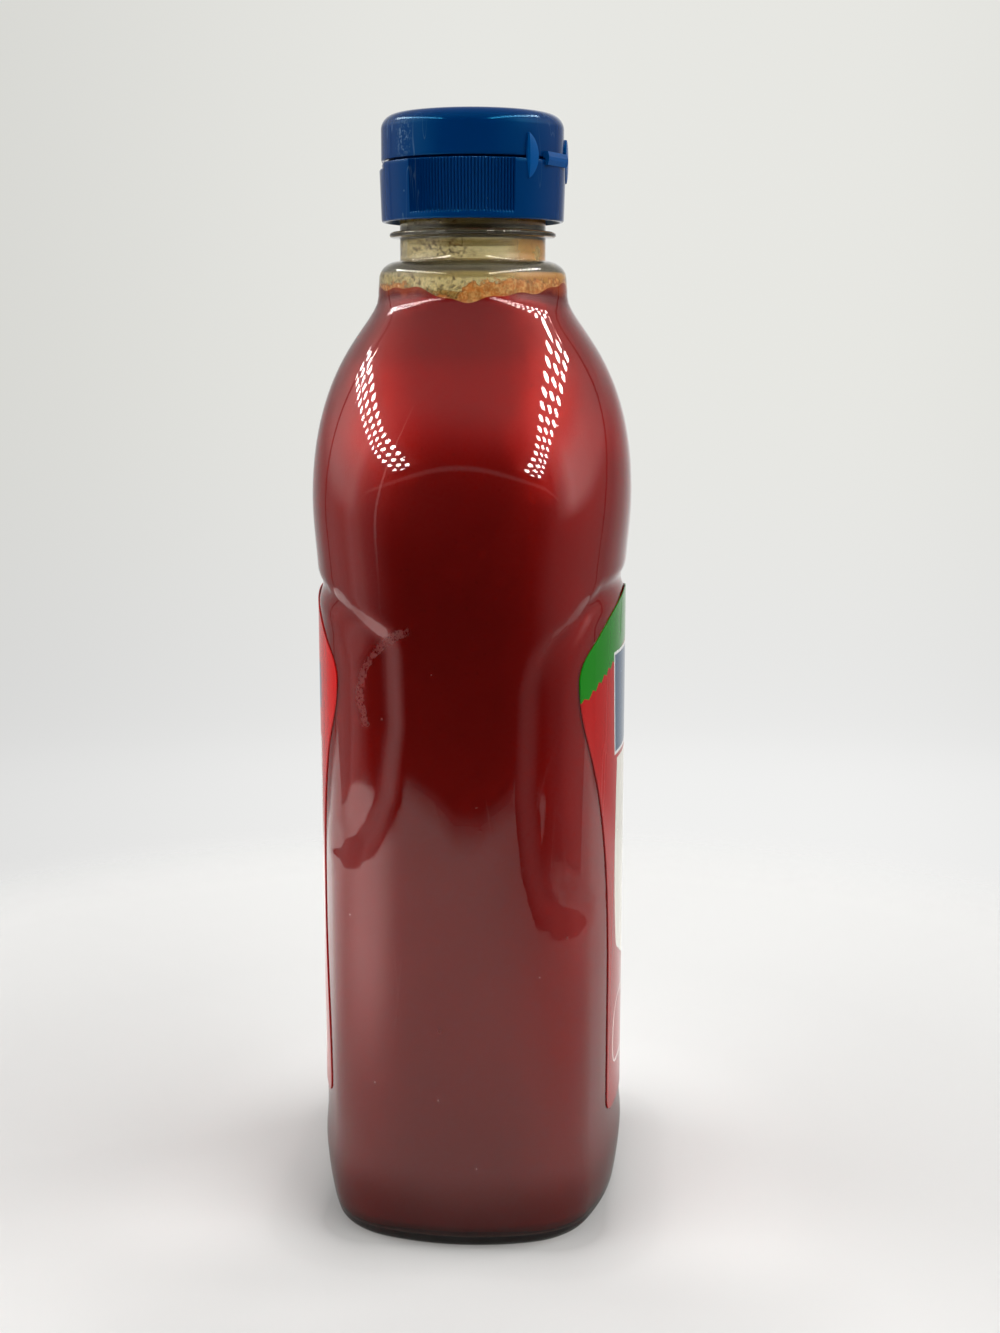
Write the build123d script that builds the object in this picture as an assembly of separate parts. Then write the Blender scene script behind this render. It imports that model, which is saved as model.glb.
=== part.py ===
from build123d import *
import os
from math import cos, radians, sin, sqrt

# A clear squeeze bottle of ketchup with a flip-top cap. Millimetres, +Z up.
# The bottle stands on z = 0 with its axis on Z. The broad sides, with the labels, face
# -Y (front) and +Y (back), and the narrow sides face -X and +X.

# ---------------------------------------------------------------- driving dimensions
HEIGHT = 247.0              # floor to the top of the shut lid

# Bottle body
BODY_WIDTH = 85.0           # along X, across the narrow sides
PANEL_DEPTH = 69.0          # along Y, across the label panels
BULGE_DEPTH = 71.5          # along Y, across the fullest place below the shoulder
HEEL_DEPTH = 70.2           # along Y, across the foot's bulge
CORNER_RADIUS = 18.0        # plan radius between a broad and a narrow side
BROAD_ARC = 22.0            # half angle of the broad side's gentle arc, degrees
NARROW_ARC = 18.0           # half angle of the narrow side's gentle arc, degrees
WALL = 0.6                  # bottle wall
FLOOR_THICKNESS = 1.4       # under the contents
PUSH_UP = 2.0               # hollow under the base
FOOT_RING = 4.0             # width of the ring that the bottle stands on

# Heights along the body
HEEL_HEIGHT = 19.0          # the foot's long rounding ends here
HEEL_SWEEP = 90.0           # radius of that rounding
FOOT_RADIUS = 2.5           # tight rounding where the foot meets the floor
PANEL_FOOT = 23.0           # the label panel starts here
PANEL_TO_COLLAR = 64.0      # top of the panel, below the collar
BULGE_TO_COLLAR = 43.6      # fullest place, below the collar
SLOPE_TO_COLLAR = 73.0      # the narrow sides start to lean in here, below the collar

# Collar and neck
COLLAR_RADIUS = 21.0
COLLAR_HEIGHT = 3.6
COLLAR_TAPER = 0.2          # the collar is this much narrower at its top
COLLAR_ROUND = 3.9          # height of the rounded step from the collar to the neck
NECK_RADIUS = 16.1
NECK_WALL = 1.4
NECK_HEIGHT = 5.0           # plain neck under the support ring
RING_OVERHANG = 2.3
RING_THICKNESS = 1.2
RING_TO_CAP = 2.1           # bare neck between the support ring and the cap

# Contents
FILL_CLEARANCE = 0.3        # between the ketchup and the wall

# Labels
LABEL_THICKNESS = 0.2
SEAT = 0.05                 # glue line under a label and under the hinge pieces
LABEL_FOOT = 24.0           # lower edge of the front label
BACK_LABEL_FOOT = 29.5
LABEL_TO_PANEL = 0.5        # top of the labels, below the top of the panel
LABEL_SIDE = 8.2            # from the label's widest place to the body's side
LABEL_WAIST = 23.2          # from the front label's foot to the body's side
BACK_WAIST = 20.7           # from the back label's waist to the body's side
LABEL_SHOULDER = 16.0       # widest place, below the label's top
LABEL_CORNER = 3.0
LABEL_ROUND = 8.0           # the label's upper corners

# Cap
SKIRT_HEIGHT = 12.7         # from the cap's lower edge to the parting line
LID_HEIGHT = 10.6           # from the parting line to the top
THREAD_CLEARANCE = 0.3      # between the neck and the cap's inner skirt
INNER_SKIRT = 1.3
SKIRT_GAP = 1.4             # between the inner and the outer skirt
OUTER_SKIRT = 1.4
SKIRT_DRAFT = 0.4           # the skirt is this much narrower at its lower edge
DECK_THICKNESS = 1.5
LID_WALL = 1.4
LID_STEP = 0.45             # the lid is this much smaller in radius than the skirt
LID_ROUND = 3.2             # radius of the lid's top edge
LID_CROWN = 0.5             # rise of the lid's top
PARTING_GAP = 0.45          # between the skirt and the lid
SPOUT_FOOT_RADIUS = 6.5
SPOUT_RADIUS = 4.2
SPOUT_HEIGHT = 5.0
ORIFICE_RADIUS = 2.5
PIN_RADIUS = 1.8            # the lid's pin that stops the orifice
PIN_REACH = 2.0             # how far the pin enters the orifice
CAP_TURN = -22.0            # the hinge stands this far round from the front, degrees

# Grip on the skirt
RIB_PITCH = 2.0             # degrees
RIB_START = 36.0            # first and last groove, counted from the hinge
RIB_END = 103.0
RIB_DEPTH = 0.25
RIB_WIDTH = 0.6
RIB_MARGIN = 1.8            # plain edge under the grooves
THUMB_SPAN = 96.0           # the thumb notch, opposite the hinge, degrees
THUMB_DEPTH = 0.6
THUMB_HEIGHT = 1.2
TAB_WIDTH = 14.0            # the lid's lip over the thumb notch
TAB_REACH = 0.4
TAB_HEIGHT = 1.6

# Hinge
WEB_SPAN = 13.5             # half angle that the hinge bar covers
WEB_REACH = 0.4             # the bar's crest, out from the skirt
WEB_HEIGHT = 1.4            # of each half of the bar
WEB_EDGE = 0.35             # flat at the bar's crest
STRAP_ANGLE = 26.8          # middle of each strap, counted from the hinge
STRAP_WIDTH = 3.9
STRAP_HEIGHT = 10.0
STRAP_REACH = 0.5

# ---------------------------------------------------------------- levels and fits
PARTING = HEIGHT - LID_HEIGHT
CAP_FOOT = PARTING - SKIRT_HEIGHT
RING_TOP = CAP_FOOT - RING_TO_CAP
RING_FOOT = RING_TOP - RING_THICKNESS
NECK_FOOT = RING_FOOT - NECK_HEIGHT
COLLAR_TOP = NECK_FOOT - COLLAR_ROUND
COLLAR_FOOT = COLLAR_TOP - COLLAR_HEIGHT
PANEL_TOP = COLLAR_FOOT - PANEL_TO_COLLAR
BULGE = COLLAR_FOOT - BULGE_TO_COLLAR
SLOPE = COLLAR_FOOT - SLOPE_TO_COLLAR
LEVEL = COLLAR_FOOT         # the ketchup's surface
FLOOR = PUSH_UP + FLOOR_THICKNESS

RIM = PARTING - 0.45 * PARTING_GAP      # top of the skirt
LID_FOOT = RIM + PARTING_GAP
NECK_TOP = RIM - DECK_THICKNESS         # the deck rests on the neck
NECK_BORE = NECK_RADIUS - NECK_WALL
INNER_SKIRT_BORE = NECK_RADIUS + THREAD_CLEARANCE
SKIRT_BORE = INNER_SKIRT_BORE + INNER_SKIRT + SKIRT_GAP
CAP_RADIUS = SKIRT_BORE + OUTER_SKIRT
LID_RADIUS = CAP_RADIUS - LID_STEP
HINGE_REACH = CAP_RADIUS + WEB_REACH    # the hinge axis, from the bottle's axis
LID_CEILING = HEIGHT - LID_CROWN - LID_WALL
SPOUT_TOP = RIM + SPOUT_HEIGHT


# ---------------------------------------------------------------- body shape
def smooth(t):
    """Smooth step from 0 to 1."""
    t = min(max(t, 0.0), 1.0)
    return t * t * (3 - 2 * t)


def shoulder(z, foot, low, high, lead, land):
    """An S-curve in height: upright at the foot with value low, upright at the collar
    with value high. Lead and land are the lengths of its two upright handles."""
    span = COLLAR_FOOT - foot
    lo, hi = 0.0, 1.0
    for _ in range(40):
        s = (lo + hi) / 2
        rise = 3 * (1 - s) ** 2 * s * lead + 3 * (1 - s) * s * s * (span - land) + s ** 3 * span
        lo, hi = (s, hi) if rise < z - foot else (lo, s)
    return low + (high - low) * (3 * (1 - lo) * lo * lo + lo ** 3)


def heel_inset(z):
    """How far the foot's rounding stands in from the wall above it."""
    inset = 0.0
    if z < HEEL_HEIGHT:
        inset += HEEL_SWEEP - sqrt(HEEL_SWEEP ** 2 - (HEEL_HEIGHT - z) ** 2)
    if z < FOOT_RADIUS:
        inset += FOOT_RADIUS - sqrt(FOOT_RADIUS ** 2 - (FOOT_RADIUS - z) ** 2)
    return inset


def half_width(z):
    """Half of the body's size along X at a height."""
    width = BODY_WIDTH / 2
    if z > SLOPE:
        lead, land = 0.753 * SLOPE_TO_COLLAR, 0.082 * SLOPE_TO_COLLAR
        width = shoulder(z, SLOPE, width, COLLAR_RADIUS, lead, land)
    return width - 1.1 * heel_inset(z)


def half_depth(z):
    """Half of the body's size along Y at a height."""
    if z > BULGE:
        lead, land = 0.7 * BULGE_TO_COLLAR, 0.14 * BULGE_TO_COLLAR
        return shoulder(z, BULGE, BULGE_DEPTH / 2, COLLAR_RADIUS, lead, land)
    heel = 1 - smooth((z - (PANEL_FOOT - 9)) / 9)
    bulge = smooth((z - PANEL_TOP) / (BULGE - PANEL_TOP))
    depth = PANEL_DEPTH + (HEEL_DEPTH - PANEL_DEPTH) * heel + (BULGE_DEPTH - PANEL_DEPTH) * bulge
    return depth / 2 - heel_inset(z)


def corner_radius(z):
    """The corner's plan radius: it grows until the section is the round collar."""
    low, high = BULGE - 4.0, COLLAR_FOOT - 5.0
    round_part = smooth((z - low) / (high - low))
    full = min(half_width(z), half_depth(z))
    return CORNER_RADIUS * (1 - round_part) + full * round_part - 0.4 * heel_inset(z)


def section(z, grow=0.0):
    """The body's plan at a height, of eight tangent arcs, as a face. Grow offsets it."""
    a, b, r = half_width(z) + grow, half_depth(z) + grow, corner_radius(z) + grow
    al, be = radians(BROAD_ARC), radians(NARROW_ARC)
    # Radii of the broad and narrow arcs that meet the corner arc without a kink
    p = b - r * (cos(al) - sin(be))
    q = a - r * (cos(be) - sin(al))
    m11, m12, m21, m22 = 1 - cos(al), sin(be), sin(al), 1 - cos(be)
    det = m11 * m22 - m12 * m21
    broad, narrow = (p * m22 - m12 * q) / det, (m11 * q - m21 * p) / det
    # Centres of the three arcs in the first quarter
    narrow_x = a - narrow
    broad_y = b - broad
    cx = narrow_x + (narrow - r) * cos(be)
    cy = (narrow - r) * sin(be)

    def at(x, y, radius, angle):
        return (x + radius * cos(angle), y + radius * sin(angle))

    side = at(narrow_x, 0, narrow, be)
    mid = at(cx, cy, r, (be + radians(90) - al) / 2)
    face = at(0, broad_y, broad, radians(90) - al)
    corner = [side, mid, face]
    edges = []
    for sx, sy in ((1, 1), (-1, 1), (-1, -1), (1, -1)):
        arc = [(sx * x, sy * y, z) for x, y in corner]
        edges.append(Edge.make_three_point_arc(*arc))
    for s in (1, -1):
        edges.append(Edge.make_three_point_arc(
            (s * side[0], -side[1], z), (s * a, 0, z), (s * side[0], side[1], z)))
        edges.append(Edge.make_three_point_arc(
            (-face[0], s * face[1], z), (0, s * b, z), (face[0], s * face[1], z)))
    return Face(Wire(edges))


def body(foot, top, grow=0.0):
    """The body's solid between two levels, offset by grow. Each stretch of the side is
    lofted by itself through evenly spaced sections, closest where the side turns most."""
    stretches = [(0, FOOT_RADIUS, 0.5), (FOOT_RADIUS, PANEL_FOOT, 4.0),
                 (PANEL_FOOT, SLOPE, HEIGHT), (SLOPE, PANEL_TOP, 3.0), (PANEL_TOP, COLLAR_FOOT, 6.0)]
    solid = None
    for start, end, step in stretches:
        low, high = max(start, foot), min(end, top)
        if high - low < 0.01:
            continue
        count = max(round((high - low) / step), 1)
        rings = [section(low + (high - low) * k / count, grow) for k in range(count + 1)]
        piece = Solid.make_loft([ring.outer_wire() for ring in rings], ruled=count == 1)
        solid = piece if solid is None else solid + piece
    return solid


def ring_profile(points):
    """A face in the XZ plane through points, with (x, z, x, z) entries as three-point arcs and
    (x, z, x, z, x, z) entries as curves with two handles."""
    edges, here = [], points[0]
    for point in points[1:] + points[:1]:
        end = point[-2:]
        if len(point) == 6:
            handles = [here, point[:2], point[2:4], end]
            edges.append(Edge.make_bezier(*[(x, 0, z) for x, z in handles]))
        elif len(point) == 4:
            edges.append(Edge.make_three_point_arc(
                (here[0], 0, here[1]), (point[0], 0, point[1]), (end[0], 0, end[1])))
        elif end != here:
            edges.append(Edge.make_line((here[0], 0, here[1]), (end[0], 0, end[1])))
        here = end
    return Face(Wire(edges))


def turned(points):
    """A solid of revolution about Z from a profile."""
    return revolve(ring_profile(points), Axis.Z)


def round_step(r_low, z_low, r_high, z_high):
    """A point entry for the quarter round from a wide low edge in to a narrow high one."""
    k = 0.5523
    return (r_low, z_low + (z_high - z_low) * k, r_high + (r_low - r_high) * k, z_high, r_high, z_high)


# ---------------------------------------------------------------- bottle and contents
def collar_and_neck(inset_body, bore, foot, top):
    """The collar and neck as a solid, for the outside or, inset, for the inside."""
    wide = COLLAR_RADIUS - inset_body
    return turned([
        (0, foot), (wide, foot), (wide - COLLAR_TAPER, COLLAR_TOP),
        round_step(wide - COLLAR_TAPER, COLLAR_TOP, bore, NECK_FOOT), (bore, top), (0, top)])


def bottle():
    """Clear shell: body, collar, neck and support ring, open at the neck."""
    edge = RING_THICKNESS / 2
    ring_radius = NECK_RADIUS + RING_OVERHANG
    outside = body(0, COLLAR_FOOT) + collar_and_neck(0, NECK_RADIUS, COLLAR_FOOT, NECK_TOP)
    outside += turned([
        (0, RING_FOOT), (ring_radius - edge, RING_FOOT),
        (ring_radius, RING_FOOT + edge, ring_radius - edge, RING_TOP), (0, RING_TOP)])
    inside = body(FLOOR, COLLAR_FOOT, -WALL)
    inside += collar_and_neck(WALL, NECK_BORE, COLLAR_FOOT, NECK_TOP + 1)
    hollow = Solid.make_loft([
        section(0, -FOOT_RING).outer_wire(), section(0, -FOOT_RING - 3 * PUSH_UP).outer_wire().moved(
            Location((0, 0, PUSH_UP)))])
    return outside - inside - hollow


def ketchup():
    """The contents up to their level."""
    return body(FLOOR + FILL_CLEARANCE, LEVEL, -WALL - FILL_CLEARANCE)


# ---------------------------------------------------------------- labels
def label_outline(foot, foot_half, waist_half, waist):
    """Half of a label's outline in the XZ plane, mirrored: arched top, widest below it,
    drawn in to a waist and a foot."""
    top = PANEL_TOP - LABEL_TO_PANEL
    wide = BODY_WIDTH / 2 - LABEL_SIDE
    widest = top - LABEL_SHOULDER
    side = Spline((waist_half, 0, waist), ((waist_half + wide) / 2 + 1, 0, waist + 0.68 * (widest - waist)),
                  (wide, 0, widest), tangents=((0, 0, 1), (0, 0, 1)))
    # The arch is a tight arc at each shoulder and one wide arc between them, tangent to both
    lo, hi = 0.0, 90.0
    for _ in range(40):
        turn = (lo + hi) / 2
        across = wide - LABEL_ROUND * (1 - cos(radians(turn)))
        up = widest + LABEL_ROUND * sin(radians(turn))
        reach = across / cos(radians(turn))
        lo, hi = (lo, turn) if up + reach * (1 - sin(radians(turn))) < top else (turn, hi)
    corner_mid = radians(turn / 2)
    shoulder_arc = Edge.make_three_point_arc(
        (wide, 0, widest), (wide - LABEL_ROUND * (1 - cos(corner_mid)), 0, widest + LABEL_ROUND * sin(corner_mid)),
        (across, 0, up))
    arch_mid = radians((turn + 90) / 2)
    arch = Edge.make_three_point_arc(
        (across, 0, up), (reach * cos(arch_mid), 0, top - reach * (1 - sin(arch_mid))), (0, 0, top))
    skirt = Spline((foot_half, 0, foot + LABEL_CORNER), (waist_half, 0, waist),
                   tangents=((0, 0, 1), (0, 0, 1)))
    k = LABEL_CORNER * (1 - sqrt(0.5))
    corner = Edge.make_three_point_arc(
        (foot_half - LABEL_CORNER, 0, foot), (foot_half - k, 0, foot + k),
        (foot_half, 0, foot + LABEL_CORNER))
    base = Edge.make_line((0, 0, foot), (foot_half - LABEL_CORNER, 0, foot))
    half = [base, corner, skirt.edge(), side.edge(), shoulder_arc, arch]
    return Face(Wire(half + [e.mirror(Plane.YZ) for e in half]))


def label(side, outline):
    """A thin label on one broad side, from its outline seen from the front."""
    skin = body(PANEL_FOOT, PANEL_TOP, SEAT + LABEL_THICKNESS) - body(PANEL_FOOT - 1, PANEL_TOP + 1, SEAT)
    prism = extrude(outline, amount=BULGE_DEPTH, dir=(0, side, 0))
    return skin & prism


def label_front():
    """Front label, drawn in to a narrow foot."""
    foot_half = BODY_WIDTH / 2 - LABEL_WAIST
    return label(-1, label_outline(LABEL_FOOT, foot_half, foot_half, 2.3 * LABEL_FOOT))


def label_back():
    """Back label, with a waist and a wider foot."""
    waist_half = BODY_WIDTH / 2 - BACK_WAIST
    return label(1, label_outline(BACK_LABEL_FOOT, waist_half + 4.5, waist_half, 2.5 * BACK_LABEL_FOOT))


# ---------------------------------------------------------------- cap
def on_cap(shape):
    """Turn a piece made with the hinge at -Y to where the hinge stands."""
    return shape.rotate(Axis.Z, CAP_TURN)


def grip_grooves():
    """Fine upright grooves on both sides of the skirt."""
    foot, top = CAP_FOOT + RIB_MARGIN, RIM + 1
    count = round((RIB_END - RIB_START) / RIB_PITCH) + 1
    out = CAP_RADIUS + 0.2
    reach = CAP_RADIUS - RIB_DEPTH
    wedge = Face(Wire.make_polygon([
        (-RIB_WIDTH / 2, -out, foot), (RIB_WIDTH / 2, -out, foot), (0, -reach, foot)], close=True))
    groove = extrude(wedge, amount=top - foot, dir=(0, 0, 1))
    return [groove.rotate(Axis.Z, s * (RIB_START + k * RIB_PITCH)) for s in (1, -1) for k in range(count)]


def cap_base():
    """Screw part: grooved skirt, inner skirt, deck and spout, with the thumb notch."""
    low, edge = CAP_RADIUS - SKIRT_DRAFT, 0.4
    under = RIM - DECK_THICKNESS
    shell = turned([
        (ORIFICE_RADIUS, under), (INNER_SKIRT_BORE, under), (INNER_SKIRT_BORE, CAP_FOOT + 1),
        (INNER_SKIRT_BORE + INNER_SKIRT, CAP_FOOT + 1), (INNER_SKIRT_BORE + INNER_SKIRT, under),
        (SKIRT_BORE, under), (SKIRT_BORE, CAP_FOOT), (low - edge, CAP_FOOT), (low, CAP_FOOT + edge),
        (CAP_RADIUS, RIM - 0.3), (CAP_RADIUS - 0.3, RIM), (SPOUT_FOOT_RADIUS, RIM),
        (SPOUT_RADIUS, SPOUT_TOP - 0.6), (SPOUT_RADIUS - 0.6, SPOUT_TOP), (ORIFICE_RADIUS, SPOUT_TOP)])
    inner = CAP_RADIUS - THUMB_DEPTH
    notch = revolve(ring_profile([
        (inner, RIM + 1), (inner, RIM - THUMB_HEIGHT + 0.5), (CAP_RADIUS + 1, RIM - THUMB_HEIGHT - 0.3),
        (CAP_RADIUS + 1, RIM + 1)]), Axis.Z, THUMB_SPAN).rotate(Axis.Z, 90 - THUMB_SPAN / 2)
    return on_cap(shell - grip_grooves() - notch)


def cap_lid():
    """Flip-top lid: a shallow shell with a rounded edge, a sealing pin and a thumb lip."""
    shoulder_z = HEIGHT - LID_CROWN - LID_ROUND
    flat = LID_RADIUS - LID_ROUND
    crown = (flat ** 2 + LID_CROWN ** 2) / (2 * LID_CROWN)
    k = LID_ROUND * (1 - sqrt(0.5))
    inner_round = LID_ROUND - LID_WALL
    ki = inner_round * (1 - sqrt(0.5))
    bore = LID_RADIUS - LID_WALL
    pin_foot = SPOUT_TOP - PIN_REACH
    shell = turned([
        (PIN_RADIUS - 0.5, pin_foot), (PIN_RADIUS, pin_foot + 0.8), (PIN_RADIUS, LID_CEILING),
        (bore - inner_round, LID_CEILING), (bore - ki, LID_CEILING - ki, bore, LID_CEILING - inner_round),
        (bore, LID_FOOT), (LID_RADIUS - 0.2, LID_FOOT), (LID_RADIUS, LID_FOOT + 0.3),
        (LID_RADIUS, shoulder_z), (LID_RADIUS - k, shoulder_z + LID_ROUND - k,
                                   flat, HEIGHT - LID_CROWN),
        (flat / 2, HEIGHT - crown + sqrt(crown ** 2 - flat ** 2 / 4), 0, HEIGHT), (0, pin_foot)])
    tab = Box(TAB_WIDTH, 4, TAB_HEIGHT)
    tab = fillet(tab.edges().filter_by(Axis.X), 0.5)
    tab = tab.moved(Location((0, LID_RADIUS + TAB_REACH - 2, LID_FOOT + TAB_HEIGHT / 2)))
    tab -= Cylinder(LID_RADIUS - LID_WALL / 2, 3 * TAB_HEIGHT).moved(Location((0, 0, LID_FOOT)))
    return on_cap(shell + tab)


# ---------------------------------------------------------------- hinge
def hinge_half(upper):
    """One half of the hinge bar. The two halves meet at the hinge axis."""
    s = 1 if upper else -1
    wall = (LID_RADIUS if upper else CAP_RADIUS) + SEAT
    inner = wall * cos(radians(WEB_SPAN)) - 1
    half = CAP_RADIUS * sin(radians(WEB_SPAN))
    foot = HINGE_REACH - WEB_REACH * 0.75
    bar = Face(Wire.make_polygon([
        (-half, -inner, PARTING), (-half, -HINGE_REACH, PARTING), (-half, -HINGE_REACH, PARTING + s * WEB_EDGE),
        (-half, -foot, PARTING + s * WEB_HEIGHT), (-half, -inner, PARTING + s * WEB_HEIGHT)], close=True))
    solid = extrude(bar, amount=2 * half, dir=(1, 0, 0))
    solid -= Cylinder(wall, 4 * WEB_HEIGHT).moved(Location((0, 0, PARTING)))
    return on_cap(solid)


def strap_half(side, upper):
    """One half of a hinge strap: a lens that stands proud of the cap, cut at the parting."""
    s = 1 if upper else -1
    wall = (LID_RADIUS if upper else CAP_RADIUS) + SEAT
    w, h = STRAP_WIDTH / 2, STRAP_HEIGHT / 2
    lens = Face(Wire([
        Edge.make_three_point_arc((0, 0, h), (w, 0, 0), (0, 0, -h)),
        Edge.make_three_point_arc((0, 0, -h), (-w, 0, 0), (0, 0, h))]))
    lens = extrude(lens.moved(Location((0, 0, PARTING))), amount=2 * CAP_RADIUS, dir=(0, -1, 0))
    # A barrel round the cap gives the strap its swell in height
    flat = CAP_RADIUS + 0.25
    swell = turned([(0, PARTING - h), (flat, PARTING - h), (CAP_RADIUS + STRAP_REACH, PARTING, flat, PARTING + h),
                    (0, PARTING + h)])
    strap = lens.rotate(Axis.Z, side * STRAP_ANGLE) & swell
    strap -= Cylinder(wall, 4 * STRAP_HEIGHT).moved(Location((0, 0, PARTING)))
    half = Box(4 * CAP_RADIUS, 4 * CAP_RADIUS, STRAP_HEIGHT).moved(Location((0, 0, PARTING + s * h)))
    return on_cap(strap & half)


# ---------------------------------------------------------------- build
PARTS = {
    "bottle": bottle,
    "ketchup": ketchup,
    "label_front": label_front,
    "label_back": label_back,
    "cap_base": cap_base,
    "cap_lid": cap_lid,
    "hinge_bar_lower": lambda: hinge_half(False),
    "hinge_bar_upper": lambda: hinge_half(True),
    "strap_left_lower": lambda: strap_half(-1, False),
    "strap_left_upper": lambda: strap_half(-1, True),
    "strap_right_lower": lambda: strap_half(1, False),
    "strap_right_upper": lambda: strap_half(1, True),
}

os.makedirs("parts", exist_ok=True)
for name, make in PARTS.items():
    piece = make()
    export_step(piece, f"parts/{name}.step")
    print(f"{name}: {piece.volume:.1f} mm3")
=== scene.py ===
"""A clear squeeze bottle of ketchup with a blue flip-top cap, dressed around its fixed frame."""

import logging
import math
from dataclasses import dataclass, field
from enum import Enum
from typing import Callable, Sequence

import bmesh
import bpy
import numpy as np
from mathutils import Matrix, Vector, noise


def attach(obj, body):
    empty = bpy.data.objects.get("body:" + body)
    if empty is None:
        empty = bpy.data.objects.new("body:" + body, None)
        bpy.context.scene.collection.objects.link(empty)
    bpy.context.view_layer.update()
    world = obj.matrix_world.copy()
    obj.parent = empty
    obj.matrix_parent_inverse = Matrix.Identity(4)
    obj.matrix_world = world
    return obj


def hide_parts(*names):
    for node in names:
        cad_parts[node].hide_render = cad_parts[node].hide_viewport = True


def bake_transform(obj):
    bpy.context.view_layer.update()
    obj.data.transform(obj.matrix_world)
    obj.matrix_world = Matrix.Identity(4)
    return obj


LOG = logging.getLogger("ketchup_bottle")
Point = tuple[float, float, float]
Colour = tuple[float, float, float]
Shade = tuple[int, int, int]            # a display colour, 0 to 255
Line = Sequence[tuple[float, float]]
Socket = bpy.types.NodeSocket

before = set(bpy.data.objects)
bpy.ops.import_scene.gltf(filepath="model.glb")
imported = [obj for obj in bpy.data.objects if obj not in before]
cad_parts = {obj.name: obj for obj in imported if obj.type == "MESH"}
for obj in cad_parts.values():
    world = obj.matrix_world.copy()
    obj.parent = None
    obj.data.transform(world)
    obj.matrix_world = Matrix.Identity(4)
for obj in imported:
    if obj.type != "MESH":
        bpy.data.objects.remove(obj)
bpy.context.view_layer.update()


def smooth(t: float) -> float:
    """Smooth step from 0 to 1, held at both ends."""
    t = min(max(t, 0.0), 1.0)
    return t * t * (3.0 - 2.0 * t)


def linear(red: int, green: int, blue: int) -> tuple[float, float, float, float]:
    """Turns a display colour of 0 to 255 into linear RGBA.

    Args:
        red: Red, 0 to 255.
        green: Green, 0 to 255.
        blue: Blue, 0 to 255.

    Returns:
        The linear colour with full alpha.
    """
    parts = []
    for value in (red, green, blue):
        part = value / 255.0
        parts.append(part / 12.92 if part <= 0.04045 else ((part + 0.055) / 1.055) ** 2.4)
    return (parts[0], parts[1], parts[2], 1.0)


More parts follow.
